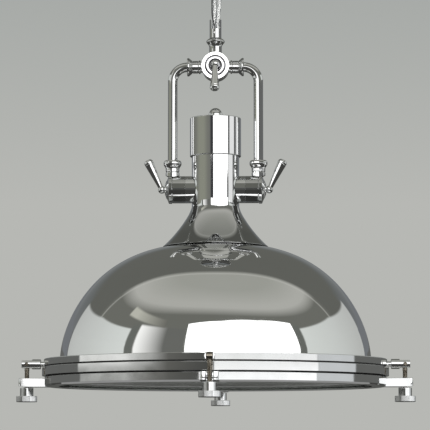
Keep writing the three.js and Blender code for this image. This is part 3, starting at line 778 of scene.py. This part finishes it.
top_flare = [(6.7, 12.5), (6.7, 18.0)] + fillet([
    (6.7, 18.0), (8.2, 18.2, 0.5), (8.2, 20.2, 0.6), (7.1, 20.6, 0.2), (7.1, 21.0, 0.2), (7.6, 21.4, 0.3), (7.6, 27.2, 0.3),
    (7.1, 27.6, 0.2), (7.1, 28.0, 0.2), (8.0, 28.4)])[1:] + spline([(8.0, 28.4), (8.7, 29.4), (9.9, 30.8), (10.8, 31.9), (11.2, 32.9), (11.1, 33.8)], 5)[1:]
low_flare = [(8.4, -277)] + fillet([(8.4, -277), (8.35, -268.6, 0.6), (7.7, -267.9, 0.3), (7.7, -267.3, 0.3), (8.25, -266.6, 0.5)])[1:] + spline([
    (8.25, -266.6), (8.3, -265.0), (8.35, -263.2), (8.7, -261.9), (9.6, -260.6), (10.45, -259.2), (10.85, -257.6), (10.75, -255.8), (10.3, -254.5), (9.9, -254.0)], 5)[1:]
for side, turn in SIDES:
    c = lathe("yoke_collar_upper_" + side, [(0, 12.5)] + top_flare + fillet([
        (11.1, 33.8), (10.8, 34.3, 0.2), (6.1, 34.3, 0.3), (6.1, 26), (0, 26)])[1:], 96, "x", (0, 0, HUB_Z))
    boolean(c, rod("tool", 16.9, -20, 20, "y", (0, 0, HUB_Z), 128))
    boolean(c, rod("tool", 3.9, 13.4, 18, "x", (0, 0, HUB_Z), 48), "UNION")
    spin(c, turn)
    dress(c, "yoke", CHROME_SMALL, f"collar_top_{side}")

    pts = [(26.5, 0, HUB_Z), (30, 0, HUB_Z)]
    for i in range(33):
        t = math.radians(90) * i / 32
        pts.append((LEG_X - 18 + 18 * math.sin(t), 0, HUB_Z - 18 + 18 * math.cos(t)))
    pts += [(LEG_X, 0, z) for z in (-175, -200, -225, -250, -262.4)]
    t = tube("yoke_leg_" + side, pts, 5.75, 64, turn=turn)
    dress(t, "yoke", CHROME, f"yoke_tube_{side}")

    low = lathe("yoke_collar_lower_" + side, [(0, -277)] + low_flare + fillet([
        (9.9, -254.0), (9.3, -253.6, 0.2), (6.1, -253.6, 0.3), (6.1, -262.8), (0, -262.8)])[1:], 96, origin=(LEG_X, 0, 0))
    boolean(low, rod("tool", 17.3, 30, 70, "x", (0, 0, PIVOT_Z), 96))
    boolean(low, rod("tool", 3.9, -279, -270, origin=(LEG_X, 0, 0), seg=48), "UNION")
    spin(low, turn)
    dress(low, "yoke", CHROME_SMALL, f"collar_low_{side}")

    barrel = lathe("tilt_barrel_" + side, ring_fillet([
        (6.5, 36.2, 0), (16.4, 36.2, 0.08), (16.4, 51.3, 0.3), (16.0, 51.7, 0.2), (16.0, 52.1, 0.2), (17, 52.5, 0.4),
        (17, 56.2, 0.8), (11.4, 58.6, 0.5), (3.0, 58.6, 0), (3.0, 49.2, 0), (6.5, 49.2, 0),
    ]), 128, "x", (0, 0, PIVOT_Z))
    boolean(barrel, rod("tool", 4.3, -279.6, -268, origin=(LEG_X, 0, 0), seg=48))
    spin(barrel, turn)
    dress(barrel, "yoke", CHROME_BARREL_SHADED, f"pivot_barrel_{side}")

    end = lathe("tilt_barrel_cap_" + side, ring_fillet([
        (3.0, 58.9, 0), (11.2, 58.9, 0.2), (10.7, 59.4, 0.3), (5.6, 61.2, 0.6), (3.0, 61.2, 0.2),
    ]), 96, "x", (0, 0, PIVOT_Z))
    spin(end, turn)
    dress(end, "yoke", CHROME_SMALL, f"barrel_end_{side}")

    arm = lever("tilt_lever_arm_" + side, 22)
    arm.data.transform(Matrix.Translation((64.9 * MM, 0, PIVOT_Z * MM)))
    spin(arm, turn)
    dress(arm, f"lever_{side}", CHROME, f"lever_{side}")

# --------------------------------------------------------------------- neck

finial = lathe("neck_finial_cap", spline([
    (0, -189.1), (2.6, -189.5), (5.3, -191.2), (7.4, -194.1), (8.6, -198.0), (9, -201.2)], 6) + fillet([
    (9, -201.2), (9, -201.5), (3.1, -201.5), (3.1, -211.7, 0.3), (0, -211.7)])[1:], 96)
dress(finial, "shade", CHROME, "neck_finial")

cap = lathe("neck_cap_cup", ring_fillet([
    (3.4, -201.8, 0), (30.9, -201.8, 0.9), (30.9, -248.9, 1.5), (29.1, -248.9, 0.2), (29.1, -203.8, 0.5), (3.4, -203.8, 0),
]), 192)
dress(cap, "shade", CHROME, "neck_cap")

outer = [(28.6, -241.0), (28.6, -270), (28.6, -300), (28.6, -309.9)]
for rho, a0, a1, n in ((47, 15, 31, 14), (165, 31, 47.3, 20)):
    r0, z0 = outer[-1]
    for i in range(1 if rho != 47 else 0, n + 1):
        t = math.radians(a0 + (a1 - a0) * i / n)
        outer.append((r0 + rho * (math.cos(math.radians(a0)) - math.cos(t)) + (0.02 if rho == 47 and i == 0 else 0),
                      z0 - rho * (math.sin(t) - math.sin(math.radians(a0))) - (0.1 if rho == 47 and i == 0 else 0)))
wall = [(60.9, -358.3), (53.9, -351.2), (43.2, -339.0), (34.4, -326.4), (28.1, -314.0), (27.0, -309.0), (27.0, -300)]
last = outer[-1]
trumpet_profile = outer[:-1] + [(last[0], -358.0), (last[0] - 0.2, -358.3)] + spline(wall, 4) + [(27.0, -241.0)]
trumpet = lathe("neck_trumpet_body", trumpet_profile, 192, closed=True)
boolean(trumpet, rod("tool", 13.4, -40, 40, "x", (0, 0, PIVOT_Z), 96))
dress(trumpet, "shade", CHROME_FLARE, "neck_trumpet")

for side, turn in SIDES:
    boss = lathe("tilt_boss_" + side, fillet([
        (0, 20), (16.4, 20), (16.4, 36.08, 0.08), (6.1, 36.08, 0.2), (6.1, 48.8, 0.3), (0, 48.8)]), 128, "x", (0, 0, PIVOT_Z))
    boolean(boss, rod("tool", 28.9, -330, -250, seg=192))
    boolean(boss, rod("tool", 12.9, 24.6, 33, "x", (0, 0, PIVOT_Z), 64), "UNION")
    boolean(boss, rod("tool", 2.9, 40, 60, "x", (0, 0, PIVOT_Z), 32))
    spin(boss, turn)
    dress(boss, "shade", CHROME, f"pivot_boss_{side}")

# --------------------------------------------------------------------- dome


def dome_radius(z):
    t = min(max((z + 494.0) / 139.0, 0.0), 0.9999)
    if t < 0.042:
        return dome_radius(-488.162) + (-488.162 - z) * 0.092
    return 186.0 * (1 - t ** 1.7) ** (1 / 2.7)


def dome_curve(offset=0.0, count=150):
    """Even steps along the dome's outer line from its top to its lip, moved inward by offset."""
    zs = [-358.75 - (493.4 - 358.75) * (i / 900) ** 1.15 for i in range(901)]
    line = [Vector((dome_radius(z), z)) for z in zs]
    dist = [0.0]
    for a, b in zip(line, line[1:]):
        dist.append(dist[-1] + (b - a).length)
    out, j = [], 0
    for i in range(count + 1):
        d = dist[-1] * i / count
        while j < len(dist) - 2 and dist[j + 1] < d:
            j += 1
        f = (d - dist[j]) / (dist[j + 1] - dist[j])
        p = line[j].lerp(line[j + 1], f)
        t = (line[j + 1] - line[j]).normalized()
        out.append((p.x + t.y * offset, p.y - t.x * offset))
    return out


shell_out = dome_curve()
shell_in = dome_curve(1.3)
dome_profile = (
    [(56.0, -355.2), (56.0, -358.3), (56.3, -358.6)]
    + shell_out
    + fillet([(186.1, -493.4), (186.35, -495.5, 0.5), (187.3, -496.2, 0.5), (200.9, -496.2, 0.3), (200.9, -497.6, 0.3), (185.4, -497.6, 1.2), (184.7, -493.4)])[1:-1]
    + list(reversed(shell_in[4:]))
    + [(56.5, -360.1), (54.9, -359.6), (54.6, -358.9), (54.6, -355.4), (54.8, -355.2)]
)
dome = lathe("dome_spun_shell", dome_profile, 288, closed=True, smooth_angle=40)
dress(dome, "shade", CHROME_DOME, "dome_shell")
dome.data.materials.append(REFLECTOR)
for p in dome.data.polygons:
    c = p.center
    r = math.hypot(c.x, c.y) / MM
    z = c.z / MM
    if z < -360.5 and r < dome_radius(z) - 0.65 and z > -497.5:
        p.material_index = 1

# -------------------------------------------------------------------- rings

S = 288
rim = lathe("rim_band_ring", ring_fillet([
    (187.3, -494.1, 0.3), (205, -494.1, 0.6), (205, -502.05, 0.2), (201.6, -502.05, 0.2), (201.6, -495.9, 0.3), (187.3, -495.9, 0.2),
]), S)
for name, turn in PLACES:
    boolean(rim, rod("tool", 2.5, 195, 215, "x", (0, 0, POST_Z), 32, turn))
dress(rim, "shade", CHROME_RING, "rim_band")

gasket = lathe("rim_seal", ring_fillet([(200.9, -502.2, 0.3), (203.9, -502.2, 0.4), (203.9, -503.7, 0.4), (200.9, -503.7, 0.3)]), S)
dress(gasket, "shade", RUBBER, "rim_gasket")

middle = lathe("middle_band_ring", ring_fillet([
    (196, -497.9, 0.2), (200.4, -497.9, 0.2), (200.4, -503.85, 0.2), (207.2, -503.85, 0.25), (207.2, -513.85, 0.25), (196, -513.85, 0.2),
]), S)
dress(middle, "shade", CHROME_RING, "middle_ring")

gasket = lathe("lens_seal", ring_fillet([(193, -514.05, 0.3), (203.1, -514.05, 0.4), (203.1, -515.4, 0.4), (193, -515.4, 0.3)]), S)
dress(gasket, "shade", RUBBER, "lens_gasket")

lens_ring = lathe("lens_band_ring", ring_fillet([
    (199.6, -515.55, 0.2), (204, -515.55, 0.25), (204, -524.4, 0.2), (203.4, -526.2, 0.3), (202.6, -526.5, 0.3), (198.4, -526.5, 0.6),
    (187, -526.5, 0.5), (187, -524.8, 0.3), (199.6, -524.8, 0),
]), S)
HALF_W = 10.3
SLOT_HALF = 4.35
for name, turn in PLACES:
    outline = [(201.0, -HALF_W)] + fillet([(201.0, -HALF_W), (235.5, -HALF_W, 2.8), (235.5, -SLOT_HALF, 0.9), (225.3, -SLOT_HALF)])[1:]
    for i in range(1, 24):
        a = math.radians(-90 - 180 * i / 24)
        outline.append((225.3 + SLOT_HALF * math.cos(a), SLOT_HALF * math.sin(a)))
    outline += fillet([(225.3, SLOT_HALF), (235.5, SLOT_HALF, 0.9), (235.5, HALF_W, 2.8), (201.0, HALF_W)])
    lug = prism("tool_lug", outline, -526.8, -516.1)
    bm = bmesh.new()
    bm.from_mesh(lug.data)
    edges = [e for e in bm.edges if abs(e.verts[0].co.z - e.verts[1].co.z) < 1e-6 and max(v.co.x for v in e.verts) > 0.2015]
    bmesh.ops.bevel(bm, geom=edges, offset=0.7 * MM, segments=3, profile=0.5, affect="EDGES", clamp_overlap=True)
    bm.to_mesh(lug.data)
    bm.free()
    under = prism("tool_under", [(226.5, -526.8), (240, -524.7), (240, -532), (226.5, -532)], -15, 15, (0, 0, 0), "y")
    boolean(lug, under)
    spin(lug, turn)
    boolean(lens_ring, lug, "UNION")
tidy(lens_ring, flat_area=62)
dress(lens_ring, "shade", CHROME_RING, "lens_ring")

glass = lathe("lens_disc", spline([(0, -516.0), (60, -516.35), (110, -517.2), (160, -518.7), (198.6, -520.4)], 8)
              + [(199.2, -520.9), (199.2, -524.0), (198.7, -524.5)]
              + spline([(198.7, -524.5), (160, -522.7), (110, -521.2), (60, -520.35), (0, -520.0)], 8)[1:], 192)
dress(glass, "shade", LENS, "lens_glass")

# ------------------------------------------------------------------- clamps


def thread(low, high, pitch, depth, base):
    def radius(r, h, a):
        if low < h < high and abs(r - base) < 0.2:
            w = (h / pitch + a / (2 * math.pi)) % 1.0
            return r - depth * abs(2 * w - 1)
        return r
    return radius


for name, turn in PLACES:
    post = lathe("clamp_stud_post_" + name, fillet([
        (0, 202), (2.2, 202, 0.2), (2.2, 205.3), (3, 205.3, 0.1), (3, 209.9, 0.2), (6, 209.9, 0.6), (6, 232.5, 0.6), (0, 232.5),
    ]), 64, "x", (0, 0, POST_Z))
    boolean(post, block("tool", 219.9, 245, -3.9, 3.9, POST_Z - 9, POST_Z + 9, 0.5))
    boolean(post, rod("tool", 2.3, -10, 10, "y", (STUD_R, 0, POST_Z), 32))
    spin(post, turn)
    dress(post, "shade", CHROME_SMALL, f"clamp_post_{name}")

    bolt = lathe("eye_bolt_body_" + name, fillet([(0, -3.6), (4.7, -3.6, 0.8), (4.7, 3.6, 0.8), (0, 3.6)]), 64, "y", (STUD_R, 0, POST_Z))
    zs = [POST_Z - 2.0 - 0.25 * i for i in range(0, 167)]
    shank_profile = [(0, POST_Z - 1.0), (2.9, POST_Z - 1.0)] + [(2.9, z) for z in zs] + [(2.3, zs[-1] - 0.7), (0, zs[-1] - 0.7)]
    shank = lathe("tool", shank_profile, 40, origin=(0, 0, 0), radius=thread(-545, -507.2, 1.25, 0.42, 2.9), smooth_angle=50)
    shank.data.transform(Matrix.Translation((STUD_R * MM, 0, 0)))
    boolean(bolt, shank, "UNION")
    boolean(bolt, lathe("tool", fillet([(0, -5.7), (2.0, -5.7, 0.4), (2.0, 5.7, 0.4), (0, 5.7)]), 32, "y", (STUD_R, 0, POST_Z)), "UNION")
    spin(bolt, turn)
    dress(bolt, f"bolt_{name}", BOLT_SHADED, f"eye_bolt_{name}")

    nut = lathe("thumb_nut_body_" + name, ring_fillet([
        (3.2, -527.3, 0.2), (8, -527.3, 0.9), (8, -537.4, 0.15), (12.4, -537.4, 0.35), (12.4, -544.5, 0.7), (3.2, -544.5, 0.3),
    ], 12), 360, origin=(0, 0, 0), radius=lambda r, h, a: r - (0.26 * (0.5 - 0.5 * math.cos(60 * a)) if r > 11.6 else 0), smooth_angle=50)
    nut.data.transform(Matrix.Translation((STUD_R * MM, 0, 0)))
    spin(nut, turn)
    dress(nut, f"nut_{name}", CHROME_SMALL, f"thumb_nut_{name}")

# ------------------------------------------------------------ lamp and bulb

holder = lathe("lamp_holder_body", fillet([
    (0, -212.0), (11, -212.0, 1.5), (16, -215, 2), (19.5, -221, 2.5), (19.5, -240, 0.4), (18.9, -240.8, 0.3), (18.9, -242.0, 0.3),
    (19.5, -242.8, 0.4), (19.5, -262, 0.6), (18, -264, 0.5), (14.2, -264, 0.5), (14.2, -232), (0, -232),
]), 96)
dress(holder, "shade", CERAMIC, "lamp_holder")

thread_zs = [-240.2 - 0.35 * i for i in range(0, 66)]
lamp_cap = lathe("bulb_screw_cap", [(0, -233.5), (4.3, -233.5), (4.6, -234), (7.8, -236.8), (12.3, -239.0), (13.1, -240.0)]
                 + [(13.1, z) for z in thread_zs] + [(12.2, -264.2), (11.8, -266.6), (0, -266.6)], 96,
                 radius=lambda r, h, a: r - (0.9 * (0.5 + 0.5 * math.cos(2 * math.pi * (h / 3.6 + a / (2 * math.pi)))) if abs(r - 13.1) < 0.05 and -262.6 < h < -240.4 else 0),
                 smooth_angle=50)
dress(lamp_cap, "shade", CAP, "bulb_cap")

bulb_out = spline([(12.4, -266.9), (13.6, -273), (17, -294), (22, -312), (30, -330), (39.4, -349), (43.9, -366), (41.2, -383), (30, -397.3), (15, -403.6), (0.02, -405)], 8)
bulb_in = spline([(0.02, -403.8), (14.6, -402.4), (29.2, -396.2), (40.1, -382.5), (42.7, -366), (38.3, -349.6), (28.9, -330.6), (15.9, -294.3), (12.4, -273), (11.2, -266.9)], 8)
bulb = lathe("bulb_envelope", bulb_out + bulb_in, 128, closed=True)
dress(bulb, "shade", OPAL, "bulb_glass")

# -------------------------------------------------------------------- stage

floor = lathe("studio_floor", [(0, -2400), (13000, -2400), (13000, -2420), (0, -2420)], 96)


def floor_material():
    m = bpy.data.materials.new("studio_floor")
    m.use_nodes = True
    m.node_tree.nodes.clear()
    k = Nodes(m.node_tree)
    out = k.new("ShaderNodeOutputMaterial")
    soft = k.new("ShaderNodeBsdfDiffuse")
    fac = object_noise(k, 2.0, 3.0)
    k.put(soft.inputs["Color"], k.mix(fac, (0.66, 0.66, 0.65, 1), (0.70, 0.70, 0.69, 1)))
    glow = k.new("ShaderNodeEmission")
    k.put(glow.inputs[0], k.mix(fac, grey(142, 142, 140), grey(148, 148, 146)))
    pale = k.new("ShaderNodeAddShader")
    k.links.new(soft.outputs[0], pale.inputs[0])
    k.links.new(glow.outputs[0], pale.inputs[1])
    dim = k.new("ShaderNodeEmission")
    k.put(dim.inputs[0], k.mix(fac, grey(60, 60, 58), grey(68, 68, 66)))
    path = k.new("ShaderNodeLightPath")
    mixed = k.new("ShaderNodeMixShader")
    k.links.new(path.outputs["Is Glossy Ray"], mixed.inputs[0])
    k.links.new(pale.outputs[0], mixed.inputs[1])
    k.links.new(dim.outputs[0], mixed.inputs[2])
    k.links.new(mixed.outputs[0], out.inputs[0])
    return m


floor.data.materials.append(floor_material())


def studio():
    """Soft boxes, cards and backdrop round the lamp, by direction. Azimuth 0 is the camera's side, 90 its right."""
    world = bpy.data.worlds.new("studio")
    SCENE.world = world
    world.use_nodes = True
    world.node_tree.nodes.clear()
    k = Nodes(world.node_tree)
    out = k.new("ShaderNodeOutputWorld")
    where = k.new("ShaderNodeTexCoord").outputs["Generated"]
    xyz = k.new("ShaderNodeSeparateXYZ")
    k.links.new(where, xyz.inputs[0])
    x, y, z = xyz.outputs
    az = k.math("MULTIPLY", k.math("ARCTAN2", x, k.math("MULTIPLY", y, -1.0)), 180 / math.pi)
    az = k.math("SUBTRACT", az, math.degrees(ORBIT))
    el = k.math("MULTIPLY", k.math("ARCSINE", z), 180 / math.pi)
    far = k.math("ABSOLUTE", az)

    # a bright card in the plane overhead, fading to its front and sides and cut off at the back
    right = k.math("ADD", k.math("MULTIPLY", x, math.cos(ORBIT)), k.math("MULTIPLY", y, math.sin(ORBIT)))
    front = k.math("SUBTRACT", k.math("MULTIPLY", x, math.sin(ORBIT)), k.math("MULTIPLY", y, math.cos(ORBIT)))
    rise = k.math("MAXIMUM", z, 0.3)
    u = k.math("MULTIPLY", k.math("SUBTRACT", k.math("DIVIDE", right, rise), 0.08), 0.79)
    v = k.math("DIVIDE", front, rise)
    reach = k.math("SQRT", k.math("ADD", k.math("MULTIPLY", u, u), k.math("MULTIPLY", v, v)))
    overhead = k.mix(k.ramp(reach, 0.3, 0.62, 0, 1), grey(157, 158, 151), grey(174, 174, 168))
    col = k.mix(k.ramp(reach, 0.71, 0.93, 0, 1), overhead, grey(107, 108, 102))
    w = k.math("MULTIPLY", right, 0.43)
    t = k.math("MULTIPLY", z, 0.09)
    back = k.math("ADD", k.math("MULTIPLY", front, -1.0), k.math("MULTIPLY", k.math("SQRT", k.math("ADD", k.math("MULTIPLY", w, w), k.math("MULTIPLY", t, t))), -1.0))
    col = k.mix(k.math("MULTIPLY", k.band(back, -0.055, -0.03, 0.012), 0.45), col, grey(190, 190, 184))
    col = k.mix(k.step(back, -0.035, 0.04), col, grey(97, 98, 93))
    # low side cards, with a dark gap before each
    side_top = k.math("SUBTRACT", 29.5, k.math("MULTIPLY", k.math("MAXIMUM", k.math("SUBTRACT", far, 108.0), 0.0), 0.17))
    below = k.step(el, k.math("SUBTRACT", side_top, 0.8), k.math("ADD", side_top, 0.8), 1.0, 0.0)
    rear = k.mix(k.ramp(el, 5, 26, 0, 1), k.mix(k.ramp(far, 150, 178, 0, 1), grey(116, 119, 122), grey(152, 155, 155)), grey(101, 104, 103))
    col = k.mix(k.math("MULTIPLY", k.step(far, 139, 143), k.step(el, 22, 30, 1, 0)), col, rear)
    card = k.mix(k.ramp(far, 72, 140, 0, 1), grey(212, 216, 212), grey(184, 186, 183))
    cards = k.math("ADD", k.band(az, -141.0, -71.0, 1.2), k.band(az, 71.0, 144.5, 1.2))
    col = k.mix(k.math("MULTIPLY", cards, below), col, card)
    gap = k.math("MULTIPLY", k.band(far, 64.5, 71.0, 1.0), k.step(el, 30, 36, 1, 0))
    col = k.mix(gap, col, grey(103, 106, 101))
    # left soft box, fading to the right, and the slanted light above it
    fall = k.ramp(az, -64, -39, 0, 1)
    box_light = k.mix(k.math("POWER", fall, 1.15), grey(255, 255, 252), grey(104, 105, 101))
    col = k.mix(k.math("MULTIPLY", k.band(az, -63.4, -24, 1.0), k.step(el, 32.5, 35, 1, 0)), col, box_light)
    slant = k.math("ADD", 38.2, k.math("MULTIPLY", k.math("ADD", az, 80.0), -0.12))
    slant_light = k.mix(k.ramp(az, -74, -42, 0, 1), grey(184, 184, 173), grey(108, 108, 102))
    col = k.mix(k.math("MULTIPLY", k.band(az, -82, -42, 1.0), k.band(el, slant, k.math("ADD", slant, 6.6), 1.0)), col, slant_light)
    # near the horizon the cards stand differently: 4.8 to 11.6 degrees up
    mid = grey(100, 101, 100)
    mid = k.mix(k.band(az, -118, -26, 4), mid, k.mix(k.band(az, -90, -45, 14), grey(116, 117, 111), grey(137, 139, 127)))
    mid = k.mix(k.band(az, -22.5, -11.5, 1.5), mid, grey(58, 58, 60))
    mid = k.mix(k.math("MULTIPLY", k.step(far, 150, 176), k.step(el, 8.8, 9.6, 1, 0)), mid, grey(140, 141, 141))
    mid = k.mix(k.step(far, 141.5, 144), mid, grey(113, 116, 119))
    limit = k.ramp(far, 73, 77, 10.15, 13.4)
    col = k.mix(k.step(el, k.math("SUBTRACT", limit, 0.25), k.math("ADD", limit, 0.25), 1, 0), col, mid)

    # the lowest strip, up to 4.8 degrees
    strip = grey(98, 99, 97)
    up = k.math("POWER", k.ramp(el, 2.05, 2.3, 0, 1), 2.4)
    pale = k.mix(up, grey(150, 151, 148), grey(233, 234, 231))
    strip = k.mix(k.band(az, -101.5, -60, 1.0), strip, pale)
    later = k.math("SUBTRACT", az, k.ramp(el, 2.2, 2.26, 0, 7))
    shade = k.mix(k.ramp(later, -66, -38, 0, 1), pale, k.mix(k.ramp(later, -38, -4, 0, 1), grey(98, 98, 94), grey(70, 71, 69)))
    strip = k.mix(k.band(az, -61, -1.0, 1.0), strip, shade)
    strip = k.mix(k.band(az, -1.0, 70.5, 0.6), strip, k.mix(k.ramp(el, 2.1, 2.28, 0, 1), grey(271, 272, 272), grey(238, 239, 238)))
    strip = k.mix(k.band(az, 70.5, 104.5, 1.0), strip, grey(200, 203, 204))
    col = k.mix(k.step(el, 4.6, 5.0, 1, 0), col, strip)
    # below the horizon: the dim backdrop above the floor's edge
    col = k.mix(k.step(el, -1.5, 0.0, 1, 0), col, k.mix(k.ramp(el, -16, -1, 0, 1), grey(60, 61, 60), grey(84, 85, 82)))

    backdrop = k.mix(k.ramp(el, 6.4, 11.6, 0, 1), grey(183, 184, 180), grey(168, 171, 168))
    path = k.new("ShaderNodeLightPath")
    light = k.new("ShaderNodeBackground")
    k.put(light.inputs[0], col)
    light.inputs[1].default_value = 1.0
    seen = k.new("ShaderNodeBackground")
    k.put(seen.inputs[0], backdrop)
    mixed = k.new("ShaderNodeMixShader")
    k.links.new(path.outputs["Is Camera Ray"], mixed.inputs[0])
    k.links.new(light.outputs[0], mixed.inputs[1])
    k.links.new(seen.outputs[0], mixed.inputs[2])
    k.links.new(mixed.outputs[0], out.inputs[0])


studio()


def softbox(name, start, end, low, high, level=1.35, skip=(), only=()):
    """An upright rectangular light between two points on plan (azimuth, distance), facing the lamp."""
    p = [Vector((d * math.sin(math.radians(a) + ORBIT), -d * math.cos(math.radians(a) + ORBIT), 0)) for a, d in (start, end)]
    data = bpy.data.lights.new(name, "AREA")
    data.shape = "RECTANGLE"
    data.size = (p[1] - p[0]).length
    data.size_y = high - low
    data.energy = level * math.pi * data.size * data.size_y
    data.cycles.max_bounces = 8
    obj = bpy.data.objects.new(name, data)
    SCENE.collection.objects.link(obj)
    mid = (p[0] + p[1]) / 2
    along = (p[1] - p[0]).normalized()
    up = Vector((0, 0, 1))
    out = along.cross(up)
    if out.dot(mid) < 0:
        along, out = -along, -out
    turn = Matrix((along, up, along.cross(up))).transposed().to_4x4()
    obj.matrix_world = Matrix.Translation(mid + Vector((0, 0, (low + high) / 2))) @ turn
    chosen = skip or only
    if chosen:
        group = bpy.data.collections.new(name + "_receivers")
        for piece in chosen:
            group.objects.link(piece)
        obj.light_linking.receiver_collection = group
        for link in group.collection_objects:
            link.light_linking.link_state = "EXCLUDE" if skip else "INCLUDE"
    return obj


PIECE = {o.name: o for o in bpy.data.objects}
BARRELS = [PIECE[n + side] for n in ("tilt_barrel_", "tilt_barrel_cap_", "tilt_boss_") for side in ("left", "right")]
LEFT_LEG = [PIECE["yoke_leg_left"]]
RIGHT_LEG = [PIECE["yoke_leg_right"]]
LEGS = LEFT_LEG + RIGHT_LEG
LEVERS = [PIECE["tilt_lever_arm_left"], PIECE["tilt_lever_arm_right"]]
STEM = [PIECE["stem_fork_tube"], PIECE["stem_flare_collar"]]
COLLARS = [PIECE[n + side] for n in ("yoke_collar_upper_", "yoke_collar_lower_") for side in ("left", "right")]
corners = ((-22.3, 38.3), (5.0, 41.7), (35.5, 40.7), (64.0, 34.8))
rise = 4.0
for i, (a, b) in enumerate(zip(corners, corners[1:])):
    ends = [(az, rise / math.tan(math.radians(el)) + 0.16) for az, el in (a, b)]
    softbox(f"main_soft_box_{i}", ends[0], ends[1], 0.45, rise - 0.45, skip=BARRELS + LEGS + LEVERS + COLLARS + STEM + [PIECE["neck_cap_cup"]])
for i, (a, b) in enumerate(zip(corners, corners[1:])):
    ends = [(az, rise / math.tan(math.radians(el)) + 0.16) for az, el in (a, b)]
    softbox(f"foot_soft_box_{i}", ends[0], ends[1], 0.30, 0.46, only=[PIECE["dome_spun_shell"]])
OWN = BARRELS + LEGS + LEVERS + COLLARS + STEM
softbox("low_soft_box_a", (-10.6, 6.1), (25.0, 6.0), 0.20, 1.35, skip=OWN)
softbox("low_soft_box_b", (25.0, 6.0), (57.5, 6.1), 0.20, 1.35, skip=OWN)
softbox("stem_soft_box", (3.0, 4.5), (60.0, 4.5), 0.05, 2.6, only=STEM)
softbox("leg_soft_box_left", (-2.0, 6.0), (48.0, 6.0), 0.20, 1.35, only=LEFT_LEG)
NECK = [PIECE["neck_cap_cup"], PIECE["neck_trumpet_body"]]
softbox("neck_soft_box_a", (-141.0, 6.0), (-124.5, 6.0), 0.10, 0.95, 0.86, only=NECK)
softbox("neck_soft_box_b", (66.0, 6.0), (91.5, 6.0), 0.10, 0.95, 0.66, only=NECK)
softbox("neck_soft_box_c", (106.0, 6.0), (116.0, 6.0), 0.10, 0.95, 0.9, only=NECK)
# light that is mirrored on the right: levers and collars
for side, sign in (("left", 1), ("right", -1)):
    softbox(f"lever_soft_box_{side}", (-16.0 * sign, 5.0), (58.0 * sign, 5.0), -0.2, 4.2, only=[PIECE["tilt_lever_arm_" + side]])
    softbox(f"collar_soft_box_{side}", (-6.0 * sign, 4.0), (54.0 * sign, 4.0), -0.35, 2.0,
            only=[PIECE["yoke_collar_upper_" + side], PIECE["yoke_collar_lower_" + side]])
# the clamps' faces look left of the ring's white part
softbox("front_soft_box", (-10.5, 6.0), (-1.0, 6.0), -0.62, -0.02,
        only=[PIECE["lens_band_ring"], PIECE["clamp_stud_post_front"], PIECE["thumb_nut_body_front"]])
FLEXES = [PIECE[n + side] for n in ("flex_conductor_", "flex_jacket_") for side in ("left", "right")]
softbox("flex_soft_box", (-50.0, 3.5), (50.0, 3.5), -0.6, 2.4, 1.1, only=FLEXES)

# a low light in front that only the lens ring's lower lip picks up
lip_data = bpy.data.lights.new("lip_light", "AREA")
lip_data.shape = "RECTANGLE"
lip_data.size, lip_data.size_y = 10.0, 8.0
lip_data.energy = 0.23 * math.pi * lip_data.size * lip_data.size_y
lip_light = bpy.data.objects.new("lip_light", lip_data)
SCENE.collection.objects.link(lip_light)
lip_light.location = (1.4 * math.sin(ORBIT), -1.4 * math.cos(ORBIT), -1.55)
lip_light.rotation_euler = (math.pi, 0, ORBIT)
lip_light.visible_camera = False
lip_group = bpy.data.collections.new("lip_light_receivers")
lip_group.objects.link(PIECE["lens_band_ring"])
lip_light.light_linking.receiver_collection = lip_group
for link in lip_group.collection_objects:
    link.light_linking.link_state = "INCLUDE"
softbox("leg_soft_box_right", (-46.0, 6.0), (6.0, 6.0), 0.20, 1.35, only=RIGHT_LEG)


def side_card(name, sign, last):
    """The low part of a side card, close by, so that it shows at the foot of the dome but not in the neck."""
    n = 48
    verts, faces = [], []
    for i in range(n + 1):
        a = math.radians(sign * (64.0 + (last - 64.0) * i / n)) + ORBIT
        for z in (-440, -250):
            verts.append((900 * math.sin(a), -900 * math.cos(a), z))
    for i in range(n):
        faces.append((2 * i, 2 * i + 1, 2 * i + 3, 2 * i + 2))
    card = mesh_object(name, verts, faces)
    m = bpy.data.materials.new(name)
    m.use_nodes = True
    m.node_tree.nodes.clear()
    k = Nodes(m.node_tree)
    out = k.new("ShaderNodeOutputMaterial")
    light = k.new("ShaderNodeEmission")
    x, y, z = (lambda c: (k.links.new(k.new("ShaderNodeTexCoord").outputs["Object"], c.inputs[0]), c.outputs)[1])(k.new("ShaderNodeSeparateXYZ"))
    az = k.math("MULTIPLY", k.math("ABSOLUTE", k.math("ARCTAN2", x, k.math("MULTIPLY", y, -1.0))), 180 / math.pi)
    k.put(light.inputs[0], k.mix(k.ramp(az, 65, 129, 0, 1), grey(212, 216, 212), grey(184, 186, 183)))
    k.links.new(light.outputs[0], out.inputs[0])
    card.data.materials.append(m)
    card.visible_camera = False
    card.visible_diffuse = False
    card.visible_shadow = False


side_card("side_card_left", -1, 130.0)
side_card("side_card_right", 1, 132.5)
SCENE.view_settings.view_transform = "Standard"
SCENE.view_settings.look = "None"
SCENE.view_settings.exposure = 0.0
SCENE.view_settings.gamma = 1.0
